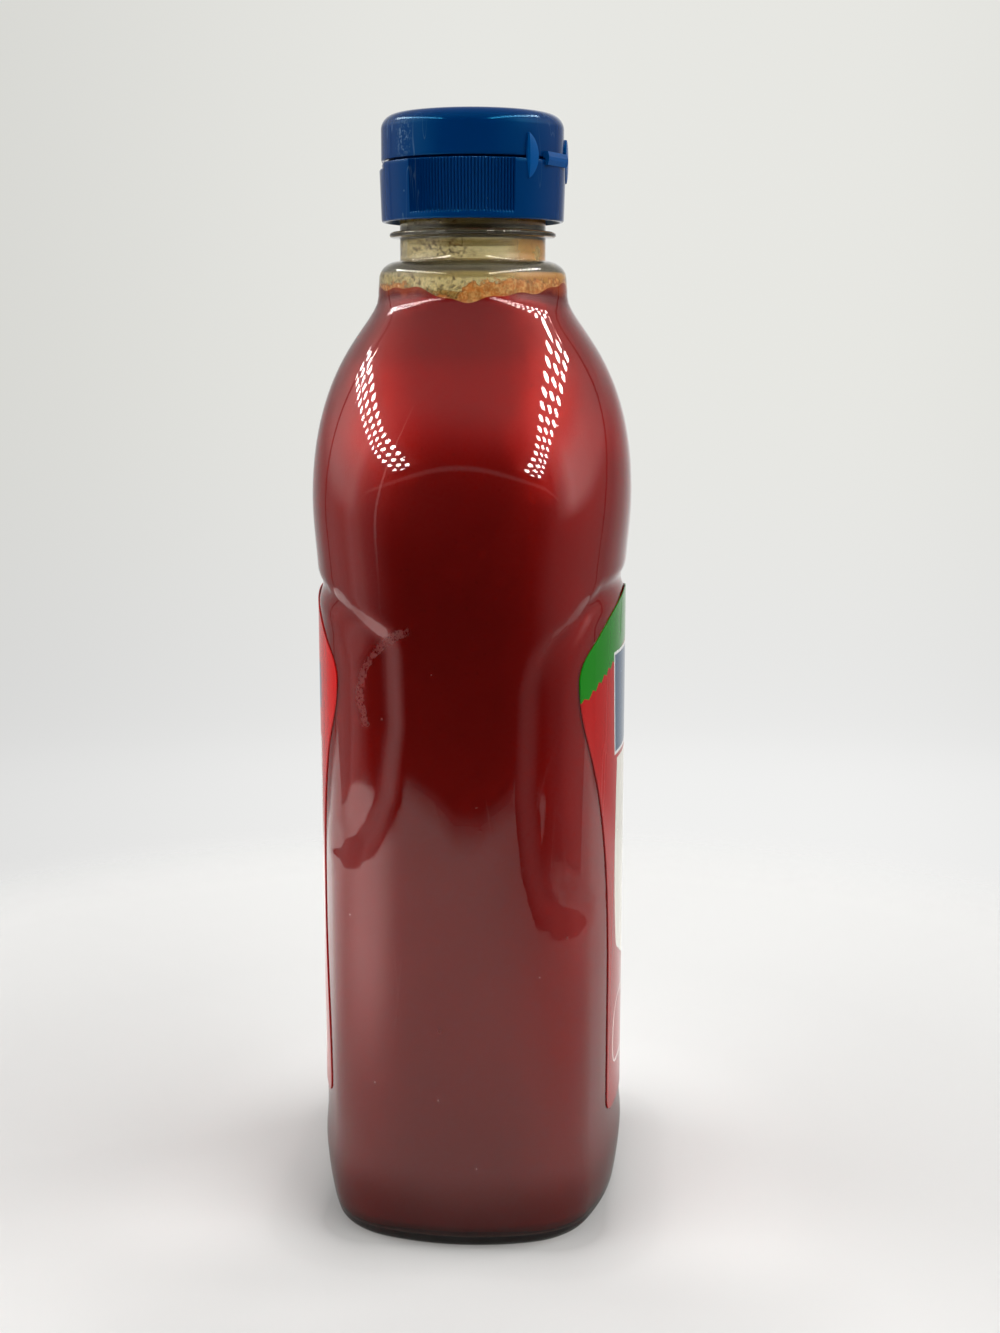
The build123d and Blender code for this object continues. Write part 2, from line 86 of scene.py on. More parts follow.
# ------------------------------------------------------------------ shader wiring
class Wiring:
    """Adds and links nodes in one node tree."""

    def __init__(self, tree: bpy.types.NodeTree) -> None:
        """Keeps the tree that the nodes go into."""
        self.tree = tree

    def node(self, kind: str, **settings: object) -> bpy.types.Node:
        """Adds a node and sets its properties.

        Args:
            kind: The node's type name.
            **settings: Properties to set on it.

        Returns:
            The new node.
        """
        made = self.tree.nodes.new(kind)
        for name, value in settings.items():
            setattr(made, name, value)
        return made

    def feed(self, socket: Socket, value: object) -> None:
        """Links a socket to another one, or sets its plain value."""
        if isinstance(value, Socket):
            self.tree.links.new(value, socket)
        else:
            socket.default_value = value

    def fill(self, node: bpy.types.Node, values: dict[str, object]) -> None:
        """Feeds a node's inputs by name."""
        for name, value in values.items():
            self.feed(node.inputs[name], value)

    def math(self, operation: str, *values: object) -> Socket:
        """A Math node of one operation over the given values."""
        made = self.node("ShaderNodeMath", operation=operation)
        for socket, value in zip(made.inputs, values):
            self.feed(socket, value)
        return made.outputs[0]

    def step(self, value: object, low: float, high: float,
             to_low: float = 0.0, to_high: float = 1.0) -> Socket:
        """A smooth step of a value between two bounds.

        Args:
            value: What is mapped.
            low: Where the step starts.
            high: Where the step ends.
            to_low: Result at low.
            to_high: Result at high.

        Returns:
            The mapped value's socket.
        """
        made = self.node("ShaderNodeMapRange", interpolation_type="SMOOTHSTEP")
        self.fill(made, {"Value": value, "From Min": low, "From Max": high,
                         "To Min": to_low, "To Max": to_high})
        return made.outputs["Result"]

    def curve(self, value: object, points: Line, vector: bool = False) -> Socket:
        """A piecewise curve through points, inside its own range.

        Args:
            value: What is looked up.
            points: Pairs of input and output, in rising order of input.
            vector: True where each stretch is a straight line.

        Returns:
            The looked-up value's socket.
        """
        start, end = points[0][0], points[-1][0]
        low = min(y for _, y in points)
        high = max(y for _, y in points)
        span, rise = end - start, (high - low) or 1.0
        ranged = self.node("ShaderNodeMapRange")
        self.fill(ranged, {"Value": value, "From Min": start, "From Max": end})
        made = self.node("ShaderNodeFloatCurve")
        line = made.mapping.curves[0]
        while len(line.points) < len(points):
            line.points.new(0.5, 0.5)
        for spot, (x, y) in zip(line.points, points):
            spot.location = ((x - start) / span, (y - low) / rise)
            spot.handle_type = "VECTOR" if vector else "AUTO"
        made.mapping.update()
        self.feed(made.inputs["Value"], ranged.outputs["Result"])
        return self.math("MULTIPLY_ADD", made.outputs["Value"], rise, low)

    def mix(self, factor: object, first: object, second: object, blend: str = "MIX") -> Socket:
        """Mixes two colours.

        Args:
            factor: Share of the second colour.
            first: Colour or socket.
            second: Colour or socket.
            blend: The Mix node's blend type.

        Returns:
            The mixed colour's socket.
        """
        made = self.node("ShaderNodeMix", data_type="RGBA", blend_type=blend)
        for index, value in ((0, factor), (6, first), (7, second)):
            self.feed(made.inputs[index], value)
        return made.outputs[2]

    def shade(self, colour: object, level: object) -> Socket:
        """A colour made darker or brighter by a level."""
        return self.mix(1.0, colour, level, "MULTIPLY")

    def noise(self, vector: object, scale: object, detail: float = 4.0, roughness: float = 0.5) -> Socket:
        """A Noise texture's value over a vector."""
        made = self.node("ShaderNodeTexNoise")
        self.fill(made, {"Vector": vector, "Scale": scale, "Detail": detail, "Roughness": roughness})
        return made.outputs["Fac"]

    def place(self, scale: Point = (1.0, 1.0, 1.0)) -> Socket:
        """Object coordinates, scaled by a Mapping node."""
        made = self.node("ShaderNodeMapping")
        self.fill(made, {"Vector": self.node("ShaderNodeTexCoord").outputs["Object"], "Scale": scale})
        return made.outputs["Vector"]

    def product(self, *values: object) -> Socket:
        """The product of several values."""
        made = values[0]
        for value in values[1:]:
            made = self.math("MULTIPLY", made, value)
        return made

    def gap(self, first: object, second: object) -> Socket:
        """How far apart two values are."""
        return self.math("ABSOLUTE", self.math("SUBTRACT", first, second))

    def length(self, first: object, second: object) -> Socket:
        """The length of the diagonal over two values."""
        squares = self.product(first, first), self.product(second, second)
        return self.math("SQRT", self.math("ADD", *squares))

    def bump(self, shader: bpy.types.Node, height: object, strength: float, distance: float) -> None:
        """Bumps a shader's normal by a height.

        Args:
            shader: The shader.
            height: The height's socket.
            strength: The bump's strength.
            distance: The bump's distance.
        """
        made = self.node("ShaderNodeBump")
        self.fill(made, {"Strength": strength, "Distance": distance, "Height": height})
        self.feed(shader.inputs["Normal"], made.outputs["Normal"])

    def split(self, vector: object) -> tuple[Socket, ...]:
        """The X, Y and Z of a vector."""
        made = self.node("ShaderNodeSeparateXYZ")
        self.feed(made.inputs[0], vector)
        return tuple(made.outputs)


def new_group(name: str, inputs: Sequence[tuple[str, str, float]], outputs: Sequence[tuple[str, str]]
              ) -> tuple[bpy.types.NodeTree, bpy.types.Node, bpy.types.Node]:
    """Makes a shader node group with named inputs and outputs.

    Args:
        name: The group's name.
        inputs: Name, socket type and default value of each input.
        outputs: Name and socket type of each output.

    Returns:
        The group's tree, its input node and its output node.
    """
    tree = bpy.data.node_groups.new(name, "ShaderNodeTree")
    for label, kind, value in inputs:
        socket = tree.interface.new_socket(name=label, in_out="INPUT", socket_type=kind)
        if kind == "NodeSocketFloat":
            socket.default_value = value
    for label, kind in outputs:
        tree.interface.new_socket(name=label, in_out="OUTPUT", socket_type=kind)
    return tree, tree.nodes.new("NodeGroupInput"), tree.nodes.new("NodeGroupOutput")


class SurfaceWear:
    """Handling marks that every hard surface here shares: hairline scratches, specks of dust
    and a faint moulded unevenness, as a height, a mark mask and a roughness change."""

    NAME = "Surface wear"

    @classmethod
    def group(cls) -> bpy.types.NodeTree:
        """Builds the group once.

        Returns:
            The shader node group.
        """
        if cls.NAME in bpy.data.node_groups:
            return bpy.data.node_groups[cls.NAME]
        number, vector = "NodeSocketFloat", "NodeSocketVector"
        tree, start, end = new_group(
            cls.NAME,
            [("Vector", vector, 0.0), ("Scratch Scale", number, 60.0), ("Scratch Amount", number, 0.5),
             ("Speck Scale", number, 400.0), ("Speck Amount", number, 0.5), ("Wave Scale", number, 30.0)],
            [("Height", number), ("Marks", number), ("Roughness Shift", number)])
        w = Wiring(tree)
        given = start.outputs
        # Hairlines are narrow bands of a stretched, warped noise, broken up by a wider one
        lines = []
        for turn, offset in ((0.35, 0.0), (-0.7, 3.7), (1.25, 8.1)):
            placed = w.node("ShaderNodeMapping")
            w.fill(placed, {"Vector": given["Vector"], "Rotation": (turn, turn * 0.6, turn),
                            "Location": (offset, offset, offset), "Scale": (1.0, 1.0, 0.12)})
            streak = w.noise(placed.outputs["Vector"], given["Scratch Scale"], 2.0)
            band = w.step(w.gap(streak, 0.5), 0.0, 0.0045, 1.0, 0.0)
            broken = w.step(w.noise(placed.outputs["Vector"], 55.0, 2.0), 0.58, 0.66)
            lines.append(w.product(band, broken))
        hairs = w.math("MAXIMUM", w.math("MAXIMUM", lines[0], lines[1]), lines[2])
        dots = w.node("ShaderNodeTexVoronoi")
        w.fill(dots, {"Vector": given["Vector"], "Scale": given["Speck Scale"]})
        chosen = w.step(w.split(dots.outputs["Color"])[0], 0.93, 0.96)
        speck = w.product(w.step(dots.outputs["Distance"], 0.05, 0.16, 1.0, 0.0), chosen)
        marks = w.math("MAXIMUM", w.product(hairs, given["Scratch Amount"]),
                       w.product(speck, given["Speck Amount"]))
        weak = w.product(marks, 0.35)
        wave = w.noise(given["Vector"], given["Wave Scale"], 1.0)
        w.fill(end, {"Height": w.math("ADD", weak, wave), "Marks": marks, "Roughness Shift": weak})
        return tree

    @classmethod
    def add(cls, w: Wiring, vector: object, **values: float) -> bpy.types.Node:
        """Places the group in a material with its own values.

        Args:
            w: The material's wiring.
            vector: Coordinates for the marks.
            **values: Inputs by name, with spaces written as underscores.

        Returns:
            The group node.
        """
        made = w.node("ShaderNodeGroup", node_tree=cls.group())
        w.feed(made.inputs["Vector"], vector)
        for name, value in values.items():
            made.inputs[name.replace("_", " ")].default_value = value
        return made


class Finish(Enum):
    """The finishes of the whole article, by the record's slot names."""

    CLEAR_BOTTLE = "clear_bottle"
    KETCHUP = "ketchup"
    LABEL = "label_film"
    CAP = "cap_plastic"


def new_material(name: str) -> tuple[bpy.types.Material, Wiring, bpy.types.Node]:
    """Makes a node material.

    Args:
        name: The material's name.

    Returns:
        The material, its wiring and its Principled shader.
    """
    material = bpy.data.materials.new(name)
    material.use_nodes = True
    tree = material.node_tree
    return material, Wiring(tree), tree.nodes["Principled BSDF"]


def let_light_through(material: bpy.types.Material, w: Wiring, shader: bpy.types.Node) -> None:
    """Lets light from the lamps reach what stands behind a clear material.

    Args:
        material: The material.
        w: Its wiring.
        shader: The shader that everything else sees.
    """
    mixed = w.node("ShaderNodeMixShader")
    w.feed(mixed.inputs[0], w.node("ShaderNodeLightPath").outputs["Is Shadow Ray"])
    w.feed(mixed.inputs[1], shader.outputs[0])
    w.feed(mixed.inputs[2], w.node("ShaderNodeBsdfTransparent").outputs[0])
    w.feed(material.node_tree.nodes["Material Output"].inputs["Surface"], mixed.outputs[0])


def seen_directly(w: Wiring) -> Socket:
    """A mask of what the eye sees, straight or through clear plastic.

    Args:
        w: The wiring of a material or of the world.

    Returns:
        The mask's socket.
    """
    path = w.node("ShaderNodeLightPath").outputs
    bounces = w.math("ADD", path["Diffuse Depth"], path["Glossy Depth"])
    clear = w.product(path["Is Transmission Ray"], w.math("LESS_THAN", bounces, 0.5))
    return w.math("MAXIMUM", path["Is Camera Ray"], clear)


def dress(piece: bpy.types.Object, material: bpy.types.Material) -> None:
    """Gives a piece its only material."""
    piece.data.materials.clear()
    piece.data.materials.append(material)


@dataclass(frozen=True)
class ClearPlastic:
    """Clear bottle plastic, faintly olive, with handling marks."""

    tint: Colour = (0.90, 0.87, 0.70)
    roughness: float = 0.012
    refraction: float = 1.5
    bump: float = 0.10
    scuff_middle: tuple[float, float] = (0.0052, 0.1245)    # Y and Z that the pale scuff bends round
    scuff_bend: float = 0.0151

    def scuff(self, w: Wiring) -> Socket:
        """A mask of the curved, broken scuff beside the middle of the -X side.

        Args:
            w: The material's wiring.

        Returns:
            The mask's socket.
        """
        where = w.place()
        x, y, z = w.split(where)
        reach = w.length(*(w.math("SUBTRACT", *pair) for pair in zip((y, z), self.scuff_middle)))
        wander = w.math("MULTIPLY_ADD", w.noise(where, 320.0, 5.0, 0.65), 0.0022, -0.0011)
        off = w.math("ABSOLUTE", w.math("ADD", w.math("SUBTRACT", reach, self.scuff_bend), wander))
        line = w.step(off, 0.0003, 0.0013, 1.0, 0.0)
        broken = w.step(w.noise(where, 1500.0, 3.0, 0.7), 0.36, 0.52)
        return w.product(line, w.step(z, 0.1165, 0.1200), w.step(y, 0.0080, 0.0110),
                         w.step(x, -0.035, -0.036), broken)

    def build(self) -> bpy.types.Material:
        """Builds the material."""
        material, w, shader = new_material("clear plastic")
        where = w.place()
        wear = SurfaceWear.add(w, where, Scratch_Scale=38.0, Scratch_Amount=0.55, Speck_Scale=330.0,
                               Speck_Amount=0.8, Wave_Scale=34.0)
        rough = w.math("ADD", wear.outputs["Roughness Shift"], self.roughness)
        w.fill(shader, {"Base Color": (*self.tint, 1.0), "Transmission Weight": 1.0, "IOR": self.refraction,
                        "Roughness": w.math("MULTIPLY_ADD", self.scuff(w), 0.6, rough)})
        w.bump(shader, wear.outputs["Height"], self.bump, 0.0006)
        let_light_through(material, w, shader)
        return material


@dataclass(frozen=True)
class Ketchup:
    """Dark ketchup pressed against the wall, with pulp flecks and an orange, thin upper edge. Its
    red carries painted light, brighter at the corners and over the shoulder, and painted shade towards the
    foot."""

    red: float = 0.22
    green: float = 0.0055
    blue: float = 0.0050
    thin: Shade = (150, 62, 24)
    thin_from: float = 0.2070
    thin_to: float = 0.2098
    rag: float = 0.006
    # Painted light and shade: how bright the red is over the height
    painted_light_by_height: Line = (
        (0.0, 0.17), (0.012, 0.20), (0.036, 0.31), (0.075, 0.46), (0.104, 0.46), (0.125, 0.40),
        (0.150, 0.45), (0.166, 0.50), (0.178, 0.88), (0.185, 1.0), (0.196, 0.68), (0.210, 0.50))
    corner_light_start: float = 0.008
    corner_light_end: float = 0.027
    painted_corner_light: float = 1.9

    def build(self) -> bpy.types.Material:
        """Builds the material."""
        material, w, shader = new_material("ketchup")
        where = w.place()
        _, y, height = w.split(where)
        cloud = w.step(w.noise(where, 26.0, 5.0, 0.55), 0.35, 0.7, 0.92, 1.08)
        # Painted light: the red is brighter towards the corners, less so over the shoulder, with painted
        # light and shade over the height
        corner = w.step(w.math("ABSOLUTE", y), self.corner_light_start, self.corner_light_end, 1.0, self.painted_corner_light)
        low = w.step(height, 0.165, 0.190, 1.0, -0.24)
        corner = w.math("MULTIPLY_ADD", w.math("SUBTRACT", corner, 1.0), low, 1.0)
        level = w.product(cloud, corner, w.curve(height, self.painted_light_by_height))
        colour = w.shade((self.red, self.green, self.blue, 1.0), level)
        fleck = w.step(w.noise(where, 900.0, 2.0), 0.66, 0.76)
        colour = w.mix(w.product(fleck, 0.3), colour, linear(50, 4, 3))
        lowered = w.math("SUBTRACT", height, self.rag / 2)
        ragged = w.math("MULTIPLY_ADD", w.noise(where, 260.0, 4.0), self.rag, lowered)
        colour = w.mix(w.step(ragged, self.thin_from, self.thin_to), colour, linear(*self.thin))
        w.fill(shader, {"Base Color": colour, "Roughness": 0.26, "IOR": 1.72,
                        "Specular Tint": (1.0, 0.04, 0.03, 1.0)})
        w.bump(shader, w.noise(where, 160.0, 3.0), 0.05, 0.0004)
        return material


@dataclass(frozen=True)
class KetchupFilm:
    """A thin smeared film of ketchup on the inside of the neck and collar: a faint olive haze,
    brown specks, and orange smears with a ragged upper edge, most of it towards the front label. Two bands
    of it are painted shade, at the neck ring and over the collar."""

    haze: Shade = (214, 186, 100)
    speck: Shade = (96, 58, 22)
    run: Shade = (196, 122, 52)
    crumb: Shade = (236, 196, 128)
    edge: Shade = (140, 84, 34)
    shade: Shade = (58, 48, 24)
    haze_cover: float = 0.20
    smear_top: float = 0.2076
    smear_front: float = 0.0034
    smear_back: float = 0.0026
    # Heights of the two bands of painted shade: at the neck ring and over the collar
    ring: tuple[float, float] = (0.2196, 0.2232)
    collar_shade_band: tuple[float, float] = (0.2122, 0.2156)

    def band(self, w: Wiring, height: object, span: tuple[float, float], soft: float) -> Socket:
        """A mask between two heights, with soft edges."""
        low, high = span
        return w.product(w.step(height, low, low + soft), w.step(height, high - soft, high, 1.0, 0.0))

    def build(self) -> bpy.types.Material:
        """Builds the material."""
        material, w, shader = new_material("ketchup film")
        where = w.place()
        _, y, height = w.split(where)
        specks = w.step(w.noise(where, 1100.0, 4.0, 0.65), 0.52, 0.58)
        patch = w.product(w.step(w.noise(where, 110.0, 3.0), 0.36, 0.50), w.step(y, -0.003, 0.002))
        specks = w.product(specks, w.math("MAXIMUM", patch, 0.12))
        limit = w.step(y, 0.002, -0.002, self.smear_top, self.smear_top + self.smear_front)
        limit = w.math("ADD", limit, w.step(y, 0.008, 0.014, 0.0, self.smear_back))
        ragged = w.math("MULTIPLY_ADD", w.noise(where, 480.0, 8.0, 0.72), 0.0096, -0.0048)
        over = w.math("SUBTRACT", w.math("ADD", height, ragged), limit)
        smear = w.step(over, -0.0002, 0.0002, 1.0, 0.0)
        brim = w.product(w.step(over, -0.0007, -0.0001), smear)
        stain = w.product(w.step(y, -0.003, -0.0150), w.step(w.noise(where, 150.0, 3.0), 0.28, 0.50))
        # Painted shade: darker bands of film at the neck ring and over the collar
        painted_shade_bands = w.math("MAXIMUM", self.band(w, height, self.ring, 0.0006),
                       self.band(w, height, self.collar_shade_band, 0.0008))
        colour = w.mix(specks, linear(*self.haze), linear(*self.speck))
        colour = w.mix(w.product(stain, 0.7), colour, linear(*self.run))
        colour = w.mix(painted_shade_bands, colour, linear(*self.shade))
        grain = w.step(w.noise(where, 1100.0, 4.0, 0.7), 0.42, 0.62)
        paste = w.mix(grain, linear(*self.run), linear(*self.crumb))
        colour = w.mix(smear, colour, w.mix(0.6, linear(*self.run), paste))
        colour = w.mix(brim, colour, linear(*self.edge))
        thick = w.step(w.noise(where, 700.0, 4.0, 0.6), 0.35, 0.60, 0.55, 0.92)
        cover: object = self.haze_cover
        for mask, share in ((specks, 0.7), (smear, thick), (stain, 0.68), (painted_shade_bands, 0.62)):
            cover = w.math("MAXIMUM", w.product(mask, share), cover)
        w.fill(shader, {"Base Color": colour, "Roughness": 0.4, "Alpha": cover})
        return material


@dataclass(frozen=True)
class CapPlastic:
    """Glossy deep blue moulded plastic."""

    name: str = "cap plastic"
    colour: Shade = (0, 46, 101)
    cloudy: Shade = (0, 62, 126)
    worn: Shade = (150, 185, 210)
    roughness: float = 0.07
    bump: float = 0.12
    scuff_at: Point = (-0.0150, 0.0133, 0.2408)
    scuff_reach: float = 0.0035

    def build(self) -> bpy.types.Material:
        """Builds the material."""
        material, w, shader = new_material(self.name)
        where = w.place()
        wear = SurfaceWear.add(w, where, Scratch_Scale=150.0, Scratch_Amount=0.35, Speck_Scale=520.0,
                               Speck_Amount=0.5, Wave_Scale=160.0)
        cloud = w.noise(where, 55.0, 3.0)
        base = w.mix(w.product(cloud, 0.12), linear(*self.colour), linear(*self.cloudy))
        spot = w.node("ShaderNodeVectorMath", operation="DISTANCE")
        w.feed(spot.inputs[0], w.place(scale=(1.0, 1.0, 0.6)))
        w.feed(spot.inputs[1], (self.scuff_at[0], self.scuff_at[1], self.scuff_at[2] * 0.6))
        scuff = w.product(w.step(spot.outputs["Value"], 0.0, self.scuff_reach, 1.0, 0.0),
                          w.step(w.noise(where, 1400.0, 4.0, 0.7), 0.50, 0.62))
        marks = w.math("MAXIMUM", wear.outputs["Marks"], scuff)
        base = w.mix(w.product(marks, 0.35), base, linear(*self.worn))
        rough = w.math("MULTIPLY_ADD", cloud, 0.05, self.roughness)
        rough = w.math("MULTIPLY_ADD", marks, 0.35, rough)
        w.fill(shader, {"Base Color": base, "IOR": 1.49, "Specular Tint": (0.03, 0.55, 0.95, 1.0),
                        "Specular IOR Level": 0.42, "Roughness": rough})
        w.bump(shader, wear.outputs["Height"], self.bump, 0.0002)
        return material


class Print:
    """Plain print on a label: fields of colour over the label's own X and Z, in millimetres."""

    SOFT = 0.12         # half the width of a field's edge

    def __init__(self, name: str, ground: Shade) -> None:
        """Starts a glossy label film.

        Args:
            name: The material's name.
            ground: The film's ground colour.
        """
        self.material, self.w, self.shader = new_material(name)
        where = self.w.place(scale=(1000.0, 1000.0, 1000.0))
        x, _, self.z = self.w.split(where)
        self.x = self.w.math("ABSOLUTE", x)
        self.signed_x = x
        self.colour: object = linear(*ground)

    def paint(self, mask: object, colour: Shade) -> None:
        """Lays a colour over what is there, inside a mask."""
        self.colour = self.w.mix(mask, self.colour, linear(*colour))

    def below(self, value: object, limit: object) -> Socket:
        """A mask that is 1 where a value is under a limit."""
        return self.w.step(self.w.math("SUBTRACT", value, limit), -self.SOFT, self.SOFT, 1.0, 0.0)

    def field(self, outline: Line, grow: float = 0.0) -> Socket:
        """A mask inside a shape that is the same left and right.

        Args:
            outline: Pairs of height and half width, from the foot up.
            grow: How far the edge is moved out.

        Returns:
            The mask's socket.
        """
        w = self.w
        foot, top = outline[0][0] - grow, outline[-1][0] + grow
        half = w.curve(self.z, outline)
        side = self.below(self.x, w.math("ADD", half, grow))
        return w.product(side, self.below(foot, self.z), self.below(self.z, top))

    def deepen(self) -> None:
        """Darkens what is there towards the label's foot."""
        self.paint(self.w.product(self.w.step(self.z, 120.0, 40.0), 0.35), (96, 8, 12))

    def finish(self) -> bpy.types.Material:
        """Wires the colour, the film's gloss and its marks to the shader.

        Returns:
            The finished material.
        """
        w = self.w
        where = w.place()
        wear = SurfaceWear.add(w, where, Scratch_Scale=60.0, Scratch_Amount=0.5, Speck_Scale=420.0,
                               Speck_Amount=0.5, Wave_Scale=22.0)
        tone = w.noise(where, 30.0, 2.0)
        self.colour = w.mix(w.product(tone, 0.08), self.colour, linear(120, 20, 18))
        w.fill(self.shader, {"Base Color": self.colour, "Specular IOR Level": 0.26,
                             "Roughness": w.math("ADD", wear.outputs["Roughness Shift"], 0.16)})
        w.bump(self.shader, wear.outputs["Height"], 0.2, 0.0004)
        return self.material


# ------------------------------------------------------------------ mesh building
class Skin:
    """A surface drawn up from one ring of vertices, extruded ring after ring."""

    def __init__(self, first: Sequence[Point]) -> None:
        """Makes the first ring.

        Args:
            first: The ring's points, anticlockwise from above, in metres.
        """
        self.mesh = bmesh.new()
        made = bmesh.ops.create_circle(self.mesh, cap_ends=False, segments=len(first), radius=1.0)
        self.ring: list[bmesh.types.BMVert] = sorted(
            made["verts"], key=lambda v: math.atan2(v.co.y, v.co.x) % (2.0 * math.pi))
        self.first = list(self.ring)
        self._place(first)

    def _place(self, points: Sequence[Point]) -> None:
        """Puts the open ring's vertices at the given points."""
        for vertex, point in zip(self.ring, points):
            vertex.co = point

    def extrude(self, points: Sequence[Point]) -> None:
        """Draws the open ring on to a new ring of points."""
        members = set(self.ring)
        edges = [e for v in self.ring for e in v.link_edges if e.other_vert(v) in members]
        made = bmesh.ops.extrude_edge_only(self.mesh, edges=list(dict.fromkeys(edges)))
        fresh = {g for g in made["geom"] if isinstance(g, bmesh.types.BMVert)}
        self.ring = [next(e.other_vert(v) for e in v.link_edges if e.other_vert(v) in fresh)
                     for v in self.ring]
        self._place(points)

    def circles(self, line: Line, count: int, flare: Callable[[float], float] | None = None) -> None:
        """Draws the open ring on through circles of the given radius and height pairs."""
        for radius, height in line:
            self.extrude(circle(radius, height, count, flare))

    def close(self) -> None:
        """Fills the end rings with a flat face."""
        for ring in (self.first, self.ring):
            bmesh.ops.contextual_create(self.mesh, geom=ring)

    def join(self) -> None:
        """Joins the last ring to the first, for a ring-shaped body."""
        def loop(ring: list[bmesh.types.BMVert]) -> list[bmesh.types.BMEdge]:
            members = set(ring)
            return list(dict.fromkeys(e for v in ring for e in v.link_edges if e.other_vert(v) in members))
        bmesh.ops.bridge_loops(self.mesh, edges=loop(self.first) + loop(self.ring))


def finish_mesh(mesh: bmesh.types.BMesh, name: str, sharp: float = 40.0) -> bpy.types.Object:
    """Turns a bmesh into a smooth-shaded object at the origin, with outward faces.

    Args:
        mesh: The finished bmesh, which is freed.
        name: The piece's name.
        sharp: Edges turning by more degrees than this stay crisp.

    Returns:
        The new object.
    """
    bmesh.ops.remove_doubles(mesh, verts=mesh.verts[:], dist=1e-7)
    bmesh.ops.recalc_face_normals(mesh, faces=mesh.faces[:])
    data = bpy.data.meshes.new(name)
    mesh.to_mesh(data)
    mesh.free()
    data.polygons.foreach_set("use_smooth", [True] * len(data.polygons))
    data.set_sharp_from_angle(angle=math.radians(sharp))
    piece = bpy.data.objects.new(name, data)
    bpy.context.scene.collection.objects.link(piece)
    return piece


def circle(radius: float, height: float, count: int,
           flare: Callable[[float], float] | None = None) -> list[Point]:
    """A ring of points round the Z axis.

    Args:
        radius: The ring's radius.
        height: Its height.
        count: How many points it has.
        flare: Change of radius at an angle in radians.

    Returns:
        The points.
    """
    points = []
    for k in range(count):
        angle = 2.0 * math.pi * k / count
        r = radius + (flare(angle) if flare else 0.0)
        points.append((r * math.cos(angle), r * math.sin(angle), height))
    return points


def quarter(r_from: float, z_from: float, r_to: float, z_to: float, steps: int,
            bulge_first: bool = True) -> list[tuple[float, float]]:
    """Points of a quarter round between two radius and height pairs, without the first.

    Args:
        r_from: Start radius.
        z_from: Start height.
        r_to: End radius.
        z_to: End height.
        steps: How many points.
        bulge_first: True where the round leaves the start upright.

    Returns:
        Radius and height pairs.
    """
    points = []
    for k in range(1, steps + 1):
        a = 0.5 * math.pi * k / steps
        across, up = (1 - math.cos(a), math.sin(a)) if bulge_first else (math.sin(a), 1 - math.cos(a))
        points.append((r_from + (r_to - r_from) * across, z_from + (z_to - z_from) * up))
    return points


